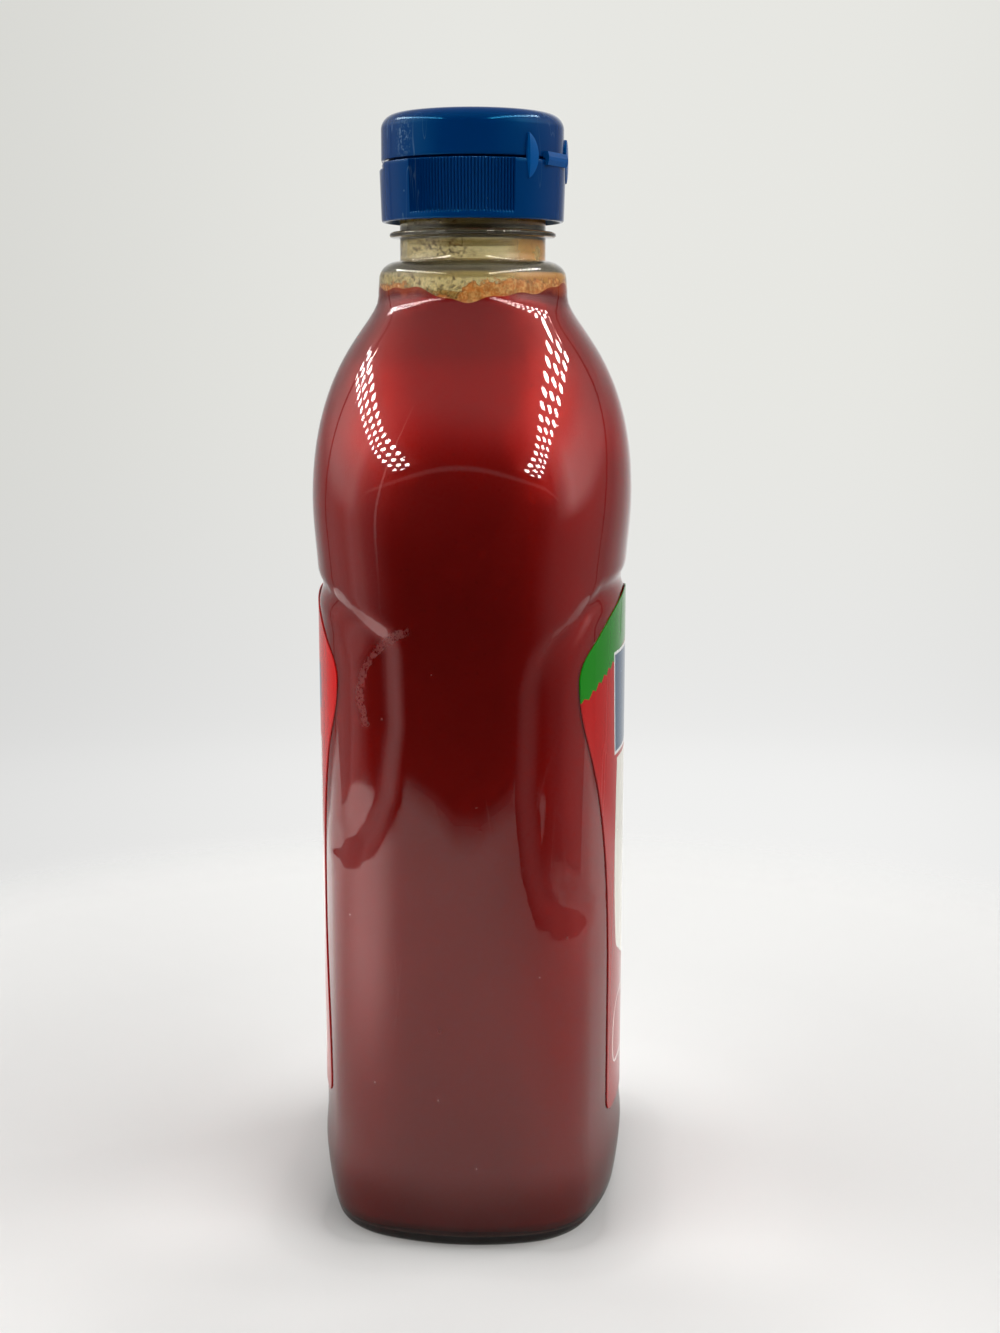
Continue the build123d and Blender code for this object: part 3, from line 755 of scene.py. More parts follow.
# ------------------------------------------------------------------ the bottle
@dataclass(frozen=True)
class BodyShape:
    """Plan sections of the bottle's body over its height, in metres. Z is up, the labels face
    -Y and +Y, and the narrow sides face -X and +X."""

    width: float = 0.085
    panel_depth: float = 0.069
    bulge_depth: float = 0.0715
    heel_depth: float = 0.0702
    corner: float = 0.018
    broad_arc: float = math.radians(22.0)
    narrow_arc: float = math.radians(18.0)
    heel_height: float = 0.019
    heel_sweep: float = 0.090
    foot_radius: float = 0.0025
    panel_foot: float = 0.023
    panel_top: float = 0.1439
    bulge: float = 0.1643
    slope: float = 0.1349
    collar_foot: float = 0.2079
    collar_radius: float = 0.021
    width_handles: tuple[float, float] = (0.753, 0.082)     # shares of the shoulder's height
    depth_handles: tuple[float, float] = (0.70, 0.14)
    heel_blend: float = 0.009
    narrow_steps: int = 13
    corner_steps: int = 17
    broad_steps: int = 22
    # Heights where the spacing of the rings changes, and how many rings lead up to each
    ring_spans: Sequence[tuple[float, int]] = ((0.024, 12), (0.100, 26), (0.152, 48))
    crease_depth: float = 0.0010
    crease_span: tuple[float, float] = (0.05, 0.152)
    crease_soft: float = 0.0018
    # The step round each label panel: reach round the side from its middle, and height
    crease_front: Line = (
        (0.0300, 0.0745), (0.0235, 0.0755), (0.0190, 0.0800), (0.0163, 0.0890), (0.0151, 0.1033),
        (0.0158, 0.1269), (0.0178, 0.1332), (0.0212, 0.1380), (0.0300, 0.1440), (0.0380, 0.1466),
        (0.0640, 0.1478))
    crease_back: Line = (
        (0.0300, 0.0890), (0.0235, 0.0900), (0.0185, 0.0945), (0.0148, 0.1030), (0.0126, 0.1186),
        (0.0131, 0.1348), (0.0146, 0.1381), (0.0183, 0.1404), (0.0265, 0.1452), (0.0350, 0.1466),
        (0.0640, 0.1478))

    def shoulder(self, z: float, foot: float, low: float, high: float, lead: float, land: float) -> float:
        """An S-curve in height, upright at both ends.

        Args:
            z: Height to look up.
            foot: Height where the curve starts.
            low: Value at the foot.
            high: Value at the collar.
            lead: Length of the lower upright handle.
            land: Length of the upper upright handle.

        Returns:
            The value at the height.
        """
        span = self.collar_foot - foot
        lo, hi = 0.0, 1.0
        for _ in range(40):
            s = (lo + hi) / 2
            rise = 3 * (1 - s) ** 2 * s * lead + 3 * (1 - s) * s * s * (span - land) + s ** 3 * span
            lo, hi = (s, hi) if rise < z - foot else (lo, s)
        return low + (high - low) * (3 * (1 - lo) * lo * lo + lo ** 3)

    def heel_inset(self, z: float) -> float:
        """How far the foot's rounding stands in from the wall above it."""
        inset = 0.0
        if z < self.heel_height:
            inset += self.heel_sweep - math.sqrt(self.heel_sweep ** 2 - (self.heel_height - z) ** 2)
        if z < self.foot_radius:
            rise = self.foot_radius - z
            inset += self.foot_radius - math.sqrt(max(self.foot_radius ** 2 - rise ** 2, 0.0))
        return inset

    def half_width(self, z: float) -> float:
        """Half of the body's size along X at a height."""
        width = self.width / 2
        if z > self.slope:
            lead, land = (share * (self.collar_foot - self.slope) for share in self.width_handles)
            width = self.shoulder(z, self.slope, width, self.collar_radius, lead, land)
        return width - 1.1 * self.heel_inset(z)

    def half_depth(self, z: float) -> float:
        """Half of the body's size along Y at a height."""
        if z > self.bulge:
            lead, land = (share * (self.collar_foot - self.bulge) for share in self.depth_handles)
            return self.shoulder(z, self.bulge, self.bulge_depth / 2, self.collar_radius, lead, land)
        heel = 1 - smooth((z - (self.panel_foot - self.heel_blend)) / self.heel_blend)
        swell = smooth((z - self.panel_top) / (self.bulge - self.panel_top))
        depth = (self.panel_depth + (self.heel_depth - self.panel_depth) * heel
                 + (self.bulge_depth - self.panel_depth) * swell)
        return depth / 2 - self.heel_inset(z)

    def corner_radius(self, z: float) -> float:
        """The corner's plan radius, which grows until the section is the round collar."""
        low, high = self.bulge - 0.004, self.collar_foot - 0.005
        part = smooth((z - low) / (high - low))
        full = min(self.half_width(z), self.half_depth(z))
        return self.corner * (1 - part) + full * part - 0.4 * self.heel_inset(z)

    def section(self, z: float, grow: float = 0.0) -> np.ndarray:
        """The plan at a height, of eight tangent arcs.

        Args:
            z: Height.
            grow: How far the plan is offset outwards.

        Returns:
            One row of x, y, outward x and outward y for each point, anticlockwise from +X.
        """
        z = min(z, self.collar_foot)
        a, b, r = self.half_width(z) + grow, self.half_depth(z) + grow, self.corner_radius(z) + grow
        al, be = self.broad_arc, self.narrow_arc
        p = b - r * (math.cos(al) - math.sin(be))
        q = a - r * (math.cos(be) - math.sin(al))
        m11, m12, m21, m22 = 1 - math.cos(al), math.sin(be), math.sin(al), 1 - math.cos(be)
        det = m11 * m22 - m12 * m21
        broad, narrow = (p * m22 - m12 * q) / det, (m11 * q - m21 * p) / det
        cx, cy = a - narrow + (narrow - r) * math.cos(be), (narrow - r) * math.sin(be)
        turns = ([be * k / self.narrow_steps for k in range(self.narrow_steps)]
                 + [be + (math.pi / 2 - al - be) * k / self.corner_steps for k in range(self.corner_steps)]
                 + [math.pi / 2 - al + al * k / self.broad_steps for k in range(self.broad_steps + 1)])
        rows = []
        for turn in turns:
            if turn < be:
                x, y, radius = a - narrow, 0.0, narrow
            elif turn < math.pi / 2 - al:
                x, y, radius = cx, cy, r
            else:
                x, y, radius = 0.0, b - broad, broad
            rows.append((x + radius * math.cos(turn), y + radius * math.sin(turn),
                         math.cos(turn), math.sin(turn)))
        rows[-1] = (0.0, b, 0.0, 1.0)
        first = np.array(rows)
        second = first[-2::-1] * np.array([-1, 1, -1, 1])
        half = np.vstack([first, second])
        return np.vstack([half, half[-2:0:-1] * np.array([1, -1, 1, -1])])

    def crease(self, reach: np.ndarray, z: float, front: np.ndarray) -> np.ndarray:
        """How deep the soft step round the label panels is.

        Args:
            reach: Distance round the side from the middle of the narrow side, per point.
            z: Height.
            front: True for points on the front half.

        Returns:
            Depth per point.
        """
        depth = np.zeros(len(reach))
        if not self.crease_span[0] <= z <= self.crease_span[1]:
            return depth
        for line, chosen in ((self.crease_front, front), (self.crease_back, ~front)):
            path = np.array(line)
            spots = np.column_stack([reach[chosen], np.full(chosen.sum(), z)])
            best = np.full(len(spots), 1.0)
            for start, end in zip(path[:-1], path[1:]):
                way = end - start
                t = np.clip(((spots - start) @ way) / (way @ way), 0, 1)
                best = np.minimum(best, np.linalg.norm(spots - start - t[:, None] * way, axis=1))
            border = np.interp(z, path[:, 1], path[:, 0])
            inside = (spots[:, 0] > border) & (path[0, 1] < z < path[-1, 1])
            signed = np.where(inside, best, -best)
            fade = np.interp(spots[:, 0], [0.022, 0.032], [0.0095, 0.0040])
            rise = np.clip((signed + self.crease_soft) / (2 * self.crease_soft), 0, 1)
            fall = np.clip((signed - self.crease_soft) / fade, 0, 1)
            rise, fall = rise ** 2 * (3 - 2 * rise), fall ** 2 * (3 - 2 * fall)
            depth[chosen] = self.crease_depth * rise * (1 - fall)
        return depth

    def ring(self, z: float, grow: float = 0.0) -> list[Point]:
        """A ring of points of the body's wall, with the step round the label panels.

        Args:
            z: Height.
            grow: How far the plan is offset outwards.

        Returns:
            The ring's points.
        """
        rows = self.section(z, grow)
        plain = self.section(z)
        steps = np.linalg.norm(np.diff(plain[:, :2], axis=0, append=plain[:1, :2]), axis=1)
        count = len(rows)
        quarter_count = count // 4
        along = np.concatenate([[0.0], np.cumsum(steps)[:-1]])
        index = np.arange(count)
        fold = index % (2 * quarter_count)
        fold = np.minimum(fold, 2 * quarter_count - fold)
        reach = along[fold]
        depth = self.crease(reach, z, index > 2 * quarter_count)
        xy = rows[:, :2] - rows[:, 2:] * depth[:, None]
        return [(float(x), float(y), z) for x, y in xy]

    def angles(self) -> np.ndarray:
        """The angle of each point round the axis where the body meets the round collar."""
        rows = self.section(self.collar_foot)
        return np.arctan2(rows[:, 1], rows[:, 0])

    def round_ring(self, radius: float, z: float) -> list[Point]:
        """A round ring whose points line up with the body's."""
        return [(radius * math.cos(a), radius * math.sin(a), z) for a in self.angles()]

    def heights(self) -> list[float]:
        """Heights of the body's rings, closest where the side turns most."""
        made = [self.foot_radius * (1 - math.cos(0.5 * math.pi * k / 7)) for k in range(1, 8)]
        start = self.foot_radius
        for end, count in (*self.ring_spans, (self.collar_foot, 34)):
            made += [start + (end - start) * k / count for k in range(1, count + 1)]
            start = end
        return made


@dataclass
class Bottle:
    """The clear bottle with its contents and labels."""

    shape: BodyShape = field(default_factory=BodyShape)
    wall: float = 0.0006
    floor: float = 0.0027
    push_up: float = 0.002
    foot_ring: float = 0.004
    collar_top: float = 0.2115
    collar_taper: float = 0.0002
    neck_foot: float = 0.2154
    neck_radius: float = 0.0161
    neck_bore: float = 0.0147
    neck_top: float = 0.2347
    ring_foot: float = 0.2204
    ring_top: float = 0.2216
    ring_radius: float = 0.0184
    reach_into_wall: float = 0.00025
    rim_edge: float = 0.0003
    collar_low: float = 0.2086
    collar_middle: float = 0.2098
    neck_low: float = 0.2172
    neck_high: float = 0.2248
    bore_low: float = 0.2165
    bore_high: float = 0.2250
    plateau_slope: float = 0.006
    inner_corner: float = 0.003
    fill_crown: float = 0.199           # height where the fill's uneven upper rings start
    fill_top: float = 0.2092
    fill_dip: float = 0.0020
    fill_middle: float = 0.2056
    film_half: float = 0.00012
    film_foot: float = 0.2042
    film_bend: float = 0.2070
    film_neck: float = 0.2200
    film_top: float = 0.2246

    def collar(self, wide: float, neck: float) -> list[tuple[float, float]]:
        """The round collar, from where the body meets it up to the neck.

        Args:
            wide: The collar's radius.
            neck: The neck's radius.

        Returns:
            Radius and height pairs.
        """
        top = wide - self.collar_taper
        points = [(wide, self.collar_low), (wide - 0.3 * self.collar_taper, self.collar_middle),
                  (top, self.collar_top)]
        return points + quarter(top, self.collar_top, neck + 0.0002, self.neck_foot, 14)

    def outer_profile(self) -> list[tuple[float, float]]:
        """Radius and height pairs from the collar up to the neck's rim, on the outside."""
        neck = self.neck_radius
        points = self.collar(self.shape.collar_radius, neck)
        under_ring = self.ring_foot - 0.0004
        points += [(neck, self.neck_foot + self.rim_edge), (neck, self.neck_low), (neck, under_ring)]
        points += quarter(neck, under_ring, neck + 0.0004, self.ring_foot, 3)
        edge = (self.ring_top - self.ring_foot) / 2
        middle = (self.ring_top + self.ring_foot) / 2
        for k in range(9):
            a = math.pi * (k / 8 - 0.5)
            points.append((self.ring_radius - edge + edge * math.cos(a), middle + edge * math.sin(a)))
        points += [(neck + self.rim_edge, self.ring_top), (neck, self.ring_top + self.rim_edge),
                   (neck, self.neck_high), (neck, self.neck_top - self.rim_edge),
                   (neck - self.rim_edge, self.neck_top)]
        return points

    def inner_profile(self) -> list[tuple[float, float]]:
        """Radius and height pairs from the rim down to the collar, on the inside."""
        bore, edge = self.neck_bore, self.rim_edge
        points = [(bore + edge, self.neck_top), (bore, self.neck_top - edge), (bore, self.bore_high),
                  (bore, self.bore_low), (bore, self.neck_foot + edge)]
        return points + self.collar(self.shape.collar_radius - self.wall, bore)[::-1]

    def build_shell(self) -> bpy.types.Object:
        """Builds the bottle's shell, outside and inside.

        Returns:
            The shell's object.
        """
        s = self.shape
        skin = Skin([(x, y, self.push_up) for x, y, _ in s.ring(0.0, -self.foot_ring - self.plateau_slope)])
        for part in (0.25, 0.5, 0.75, 1.0):
            drop = self.push_up * (1 - smooth(part))
            inset = self.foot_ring + self.plateau_slope * (1 - part)
            skin.extrude([(x, y, drop) for x, y, _ in s.ring(0.0, -inset)])
        skin.extrude([(x, y, 0.0) for x, y, _ in s.ring(0.0)])
        for z in s.heights():
            skin.extrude(s.ring(z))
        for radius, z in self.outer_profile() + self.inner_profile():
            skin.extrude(s.round_ring(radius, z))
        for z in reversed(s.heights()):
            if z > self.floor + self.inner_corner:
                skin.extrude(s.ring(z, -self.wall))
        for part in (0.25, 0.5, 0.75, 1.0):
            a = 0.5 * math.pi * part
            z = self.floor + self.inner_corner * (1 - math.sin(a))
            inset = self.wall + self.inner_corner * (1 - math.cos(a))
            skin.extrude([(x, y, z) for x, y, _ in s.ring(z, -inset)])
        skin.close()
        return finish_mesh(skin.mesh, "bottle_shell")

    def fill_height(self, angle: float) -> float:
        """The uneven height that the ketchup reaches on the wall at an angle round the axis."""
        dip = math.exp(-((math.degrees(abs(abs(angle) - math.pi))) / 34.0) ** 2)
        wobble = (0.0007 * math.sin(3 * angle + 0.6) + 0.0005 * math.sin(7 * angle + 1.9)
                  + 0.0003 * math.sin(17 * angle + 0.4))
        return self.fill_top - self.fill_dip * dip + wobble

    def build_ketchup(self) -> bpy.types.Object:
        """Builds the contents, which reach just into the wall.

        Returns:
            The ketchup's object.
        """
        s = self.shape
        grow = self.reach_into_wall - self.wall
        base = self.floor - self.reach_into_wall
        skin = Skin([(x, y, base) for x, y, _ in s.ring(base, grow - self.inner_corner)])
        for part in (0.34, 0.67, 1.0):
            a = 0.5 * math.pi * part
            z = base + self.inner_corner * (1 - math.cos(a))
            inset = self.inner_corner * (1 - math.sin(a))
            skin.extrude([(x, y, z) for x, y, _ in s.ring(z, grow - inset)])
        start = self.fill_crown
        for z in s.heights():
            if base + 0.0035 < z < start:
                skin.extrude(s.ring(z, grow))
        angles = s.angles()
        tops = [self.fill_height(a) for a in angles]
        for k in range(1, 11):
            ring = []
            for index, (angle, top) in enumerate(zip(angles, tops)):
                z = start + (top - start) * k / 10
                if z < s.collar_foot:
                    x, y, _ = self._wall_point(index, z, grow)
                else:
                    radius = s.collar_radius + grow
                    x, y = radius * math.cos(angle), radius * math.sin(angle)
                ring.append((x, y, z))
            skin.extrude(ring)
        rim = [v.co.copy() for v in skin.ring]
        for part in (0.96, 0.88, 0.7, 0.45, 0.2):
            share = smooth((1 - part) / 0.3)
            ring = []
            for p in rim:
                level = self.fill_middle + 0.0006 * noise.noise(p * 90 * part)
                ring.append((p.x * part, p.y * part, p.z * (1 - share) + share * level))
            skin.extrude(ring)
        skin.close()
        return finish_mesh(skin.mesh, "ketchup_fill")

    def _wall_point(self, index: int, z: float, grow: float) -> Point:
        """One point of the wall's ring at a height."""
        x, y, _, _ = self.shape.section(z, grow)[index]
        return (float(x), float(y), z)

    def build_film(self) -> bpy.types.Object:
        """Builds the smeared film on the inside of the neck and collar.

        Returns:
            The film's object.
        """
        wide = self.shape.collar_radius - self.wall
        line = [(wide, self.film_foot), (wide, self.film_bend)] + self.collar(wide, self.neck_bore)
        line += [(self.neck_bore, z) for z in (self.bore_low, self.film_neck, self.film_top)]
        outside = [(radius + self.film_half, z) for radius, z in line]
        inside = [(radius - self.film_half, z) for radius, z in reversed(line)]
        count = 128
        skin = Skin(circle(*outside[0], count))
        skin.circles(outside[1:] + inside, count)
        skin.join()
        return finish_mesh(skin.mesh, "ketchup_film")

    def front_print(self) -> bpy.types.Material:
        """The front label's plain fields: a green top, a grey-blue badge, a cream panel and an
        outlined round-topped box on red."""
        p = Print("front label print", (176, 20, 18))
        w = p.w
        p.deepen()
        wave = w.math("PINGPONG", p.signed_x, 1.45)
        edge = w.math("MULTIPLY_ADD", w.product(p.x, p.x), -0.0075, 130.9)
        above = w.math("SUBTRACT", p.z, w.math("MULTIPLY_ADD", wave, 0.75, edge))
        p.paint(w.step(above, -0.15, 0.15), (0, 126, 16))
        panel = [(56.5, 0.0), (60.0, 8.5), (64.0, 13.0), (106.5, 13.7)]
        badge = [(108.2, 15.6), (112.0, 15.9), (128.0, 16.8), (130.3, 16.9)]
        box = [(33.8, 12.0), (35.5, 14.2), (42.0, 14.5), (46.5, 13.0), (49.2, 6.0)]
        for outline, grow, colour in ((panel, 0.0, (229, 227, 215)), (badge, 0.7, (226, 228, 226)),
                                      (badge, 0.0, (52, 88, 118)), (box, 0.35, (228, 214, 208)),
                                      (box, -0.35, (160, 14, 18))):
            p.paint(p.field(outline, grow), colour)
        return p.finish()

    def back_print(self) -> bpy.types.Material:
        """The back label's plain fields: two pale panels on red under a grey-blue strip."""
        p = Print("back label print", (202, 20, 18))
        p.deepen()
        foot_panel = [(36.0, 17.5), (38.0, 19.0), (47.0, 18.0), (48.5, 16.5)]
        panel = [(56.0, 17.0), (57.5, 18.2), (110.0, 20.2), (111.5, 19.0)]
        strip = [(118.0, 20.0), (119.2, 21.5), (127.0, 21.5), (128.2, 20.0)]
        for outline, colour in ((foot_panel, (236, 230, 224)), (panel, (236, 226, 220)),
                                (strip, (52, 88, 118))):
            p.paint(p.field(outline), colour)
        return p.finish()

    def dress(self) -> None:
        """Builds and dresses every piece of the bottle."""
        shell = self.build_shell()
        dress(shell, ClearPlastic().build())
        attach(shell, "bottle")
        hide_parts("bottle")
        report(shell)
        fill = self.build_ketchup()
        dress(fill, Ketchup().build())
        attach(fill, "bottle")
        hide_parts("ketchup")
        report(fill)
        film = self.build_film()
        dress(film, KetchupFilm().build())
        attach(film, "bottle")
        report(film)
        for name, material in (("label_front", self.front_print()), ("label_back", self.back_print())):
            dress(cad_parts[name], material)
            report(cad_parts[name])


# ------------------------------------------------------------------ the cap
@dataclass
class Cap:
    """The flip-top cap: grooved skirt, deck with spout, lid, hinge bar and two straps."""

    turn: float = math.radians(-22.0)       # the hinge stands this far round from -Y
    foot: float = 0.2237
    parting: float = 0.2364
    rim: float = 0.2362
    radius: float = 0.0205
    draft: float = 0.0004
    bore: float = 0.0191
    under_deck: float = 0.2347
    lid_foot: float = 0.23665
    lid_radius: float = 0.02005
    lid_round: float = 0.0032
    lid_wall: float = 0.0014
    top: float = 0.247
    crown: float = 0.0005
    rib_pitch: float = math.radians(2.0)
    rib_start: float = math.radians(36.0)
    rib_end: float = math.radians(104.0)
    rib_depth: float = 0.00038
    rib_foot: float = 0.2255
    thumb_half: float = math.radians(48.0)
    strap_angle: float = math.radians(26.8)
    notch_depth: float = 0.0006
    notch_height: float = 0.0013
    edge: float = 0.0003
    inner_rim: float = 0.0172           # where the skirt's top edge meets the deck
    inner_skirt: float = 0.0164
    inner_skirt_wall: float = 0.0013
    lip_out: float = 0.0004
    lip_half: float = math.radians(20.0)
    spout_foot: float = 0.0078
    spout_waist: float = 0.0052
    spout_mouth: float = 0.0042
    spout_bore: float = 0.0025
    pin_radius: float = 0.0018
    fine: int = 1080                    # points round the skirt, enough for its grooves
    plain: int = 360
    coarse: int = 160

    def from_hinge(self, angle: float) -> float:
        """The angle between a direction round the cap and the hinge, from -pi to pi."""
        return (angle - (self.turn - math.pi / 2) + math.pi) % (2 * math.pi) - math.pi

    def groove(self, angle: float) -> float:
        """How deep the grip's grooves cut at an angle."""
        away = abs(self.from_hinge(angle))
        if not self.rib_start < away < self.rib_end:
            return 0.0
        phase = ((away - self.rib_start) / self.rib_pitch) % 1.0
        return self.rib_depth * max(0.0, 1.0 - abs(phase - 0.5) / 0.42)

    def notch(self, angle: float) -> float:
        """How deep the thumb notch cuts at an angle."""
        away = math.pi - abs(self.from_hinge(angle))
        return self.notch_depth * smooth((self.thumb_half - away) / math.radians(4.0))

    def build_skirt(self) -> bpy.types.Object:
        """Builds the grooved skirt with its top edge.

        Returns:
            The skirt's object.
        """
        count = self.fine
        low = self.radius - self.draft

        def wide(z: float) -> float:
            """The skirt's outside radius at a height."""
            return low + self.draft * (z - self.foot) / (self.rim - self.foot)

        skin = Skin(circle(self.bore, self.under_deck, count))
        skin.circles([(self.bore, self.foot + self.edge), (self.bore + 0.0002, self.foot)], count)
        skin.circles(quarter(low - 0.0005, self.foot, low, self.foot + 0.0005, 4, bulge_first=False), count)
        for part in (0.0, 0.5, 1.0):
            z = self.rib_foot - 0.0005 + 0.0005 * part
            share = smooth(part)
            skin.extrude(circle(wide(z), z, count, lambda a, k=share: -k * self.groove(a)))
        notch_foot = self.rim - self.notch_height
        for z, cut in ((0.2300, 0.0), (notch_foot - self.edge, 0.0), (notch_foot, 0.25),
                       (notch_foot + self.edge, 1.0), (self.rim - self.edge, 1.0)):
            skin.extrude(circle(wide(z), z, count,
                                lambda a, k=cut: -max(self.groove(a), k * self.notch(a))))
        skin.circles(quarter(self.radius, self.rim - self.edge, self.radius - 0.0004, self.rim, 3), count,
                     lambda a: -max(0.7 * self.groove(a), self.notch(a)))
        # A low inner rim, which the lid's wall snaps round
        steps = ((0.0012, 0.0), (0.0012, 0.0008), (0.0010, 0.0010), (0.0006, 0.0010), (0.0004, 0.0),
                 (0.0, 0.0))
        skin.circles([(self.inner_rim + out, self.rim + up) for out, up in steps], count)
        skin.circles([(self.inner_rim, self.under_deck)], count)
        skin.join()
        return finish_mesh(skin.mesh, "cap_skirt", 50.0)

    def build_deck(self) -> bpy.types.Object:
        """Builds the deck with its spout and the inner skirt that grips the neck.

        Returns:
            The deck's object.
        """
        level = self.rim - self.edge
        foot, mouth, bore = self.spout_foot, self.spout_mouth, self.spout_bore
        line = [(self.inner_rim, level), (foot + 0.0017, level), (foot, self.rim - 0.0002)]
        line += quarter(foot, self.rim - 0.0002, self.spout_waist, self.rim + 0.0022, 8, bulge_first=False)
        line += [(mouth + 0.0002, self.rim + 0.0040)]
        line += quarter(mouth, self.rim + 0.0045, mouth - 0.0006, self.rim + 0.0050, 4)
        line += quarter(bore + 0.0005, self.rim + 0.0050, bore, self.rim + 0.0045, 4, bulge_first=False)
        inner, outer = self.inner_skirt, self.inner_skirt + self.inner_skirt_wall
        line += [(bore, self.under_deck), (inner, self.under_deck), (inner, self.foot + 0.001),
                 (outer, self.foot + 0.001), (outer, self.under_deck - 0.0004),
                 (outer, self.under_deck + 0.0002), (outer - self.edge, self.under_deck + 0.0004)]
        skin = Skin(circle(*line[0], self.coarse))
        skin.circles(line[1:], self.coarse)
        skin.join()
        return finish_mesh(skin.mesh, "cap_deck", 50.0)

    def lip(self, angle: float, z: float) -> float:
        """How far the lid's thumb lip stands out at an angle and height."""
        away = math.pi - abs(self.from_hinge(angle))
        side = smooth((self.lip_half - away) / math.radians(2.5))
        return self.lip_out * side * smooth((self.lid_foot + 0.0018 - z) / 0.0006)

    def build_lid(self) -> bpy.types.Object:
        """Builds the lid: a shallow shell with a rounded edge, a crowned top and a sealing pin.

        Returns:
            The lid's object.
        """
        count = self.plain
        flat = self.lid_radius - self.lid_round
        shoulder = self.top - self.crown - self.lid_round
        ball = (flat ** 2 + self.crown ** 2) / (2 * self.crown)
        ceiling = self.top - self.crown - self.lid_wall
        inner = self.lid_round - self.lid_wall
        bore = self.lid_radius - self.lid_wall
        skin = Skin(circle(0.0006, self.top - 0.00001, count))
        for part in (0.15, 0.35, 0.6, 0.8, 0.95):
            r = flat * part
            skin.extrude(circle(r, self.top - ball + math.sqrt(ball ** 2 - r ** 2), count))
        brow = self.top - self.crown
        skin.circles([(flat, brow)], count)
        skin.circles(quarter(flat, brow, self.lid_radius, shoulder, 14, bulge_first=False), count)
        for z in (0.2410, *(self.lid_foot + up for up in (0.0021, 0.0015, 0.0011, self.edge))):
            skin.extrude(circle(self.lid_radius, z, count, lambda a, h=z: self.lip(a, h)))
        skin.circles(quarter(self.lid_radius, self.lid_foot + self.edge, self.lid_radius - self.edge,
                             self.lid_foot, 3), count, lambda a: self.lip(a, self.lid_foot))
        skin.circles([(bore + 0.0002, self.lid_foot), (bore, self.lid_foot + 0.0002),
                      (bore, ceiling - inner)], count)
        skin.circles(quarter(bore, ceiling - inner, bore - inner, ceiling, 6), count)
        pin, pin_foot = self.pin_radius, self.rim + 0.003
        skin.circles([(pin + 0.0008, ceiling), (pin + 0.0001, ceiling - 0.0006), (pin, pin_foot + 0.0008),
                      (pin - 0.0005, pin_foot), (0.0004, pin_foot)], count)
        skin.close()
        return finish_mesh(skin.mesh, "cap_top", 50.0)

    def build_strap(self, side: int, name: str) -> bpy.types.Object:
        """Builds one hinge strap: a pointed leaf whose ridge stands near the side away from the
        hinge, so that one face is steep and the other slopes.

        Args:
            side: 1 or -1, which side of the hinge it stands on.
            name: The piece's name.

        Returns:
            The strap's object.
        """
        steep, slope, tall, proud = 0.0005, 0.0027, 0.0047, 0.0005
        mesh = bmesh.new()
        made = bmesh.ops.create_uvsphere(mesh, u_segments=28, v_segments=36, radius=1.0)
        middle = self.turn - math.pi / 2 + side * self.strap_angle
        inner = self.lid_radius + 0.00002
        for vertex in made["verts"]:
            x, y, z = vertex.co
            ring = math.sqrt(max(1 - z * z, 0.0))
            spread = (1 - z * z) ** 0.8
            share = x / ring if ring > 1e-6 else 0.0
            across = (slope if share > 0 else steep) * spread * share
            facing = y / ring if ring > 1e-6 else 0.0
            out = inner
            if facing > 0:
                ridge = 1 - abs(share)
                out = self.radius + proud * (0.25 + 0.75 * ridge) * spread ** 0.5 * min(facing * 4, 1)
            angle = middle - side * across / self.radius
            vertex.co = (out * math.cos(angle), out * math.sin(angle), self.parting + 0.0003 + tall * z)
        return finish_mesh(mesh, name, 30.0)

    def dress(self) -> None:
        """Builds and dresses every piece of the cap."""
        plastic = CapPlastic().build()
        # Painted light: the hinge pieces take a lighter copy of the cap plastic
        bright = CapPlastic(name="hinge plastic painted lighter", colour=(0, 74, 142), roughness=0.2).build()
        skirt, deck, lid = self.build_skirt(), self.build_deck(), self.build_lid()
        for piece in (skirt, deck):
            dress(piece, plastic)
            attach(piece, "bottle")
            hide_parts("cap_base")
            report(piece)
        dress(lid, plastic)
        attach(lid, "lid")
        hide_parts("cap_lid")
        report(lid)
        for side, name in ((-1, "strap_left"), (1, "strap_right")):
            strap = self.build_strap(side, name)
            dress(strap, bright)
            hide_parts(f"{name}_lower", f"{name}_upper")
            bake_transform(strap)
            report(strap)
        for name in ("hinge_bar_lower", "hinge_bar_upper"):
            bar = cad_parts[name]
            dress(bar, bright)
            report(bar)


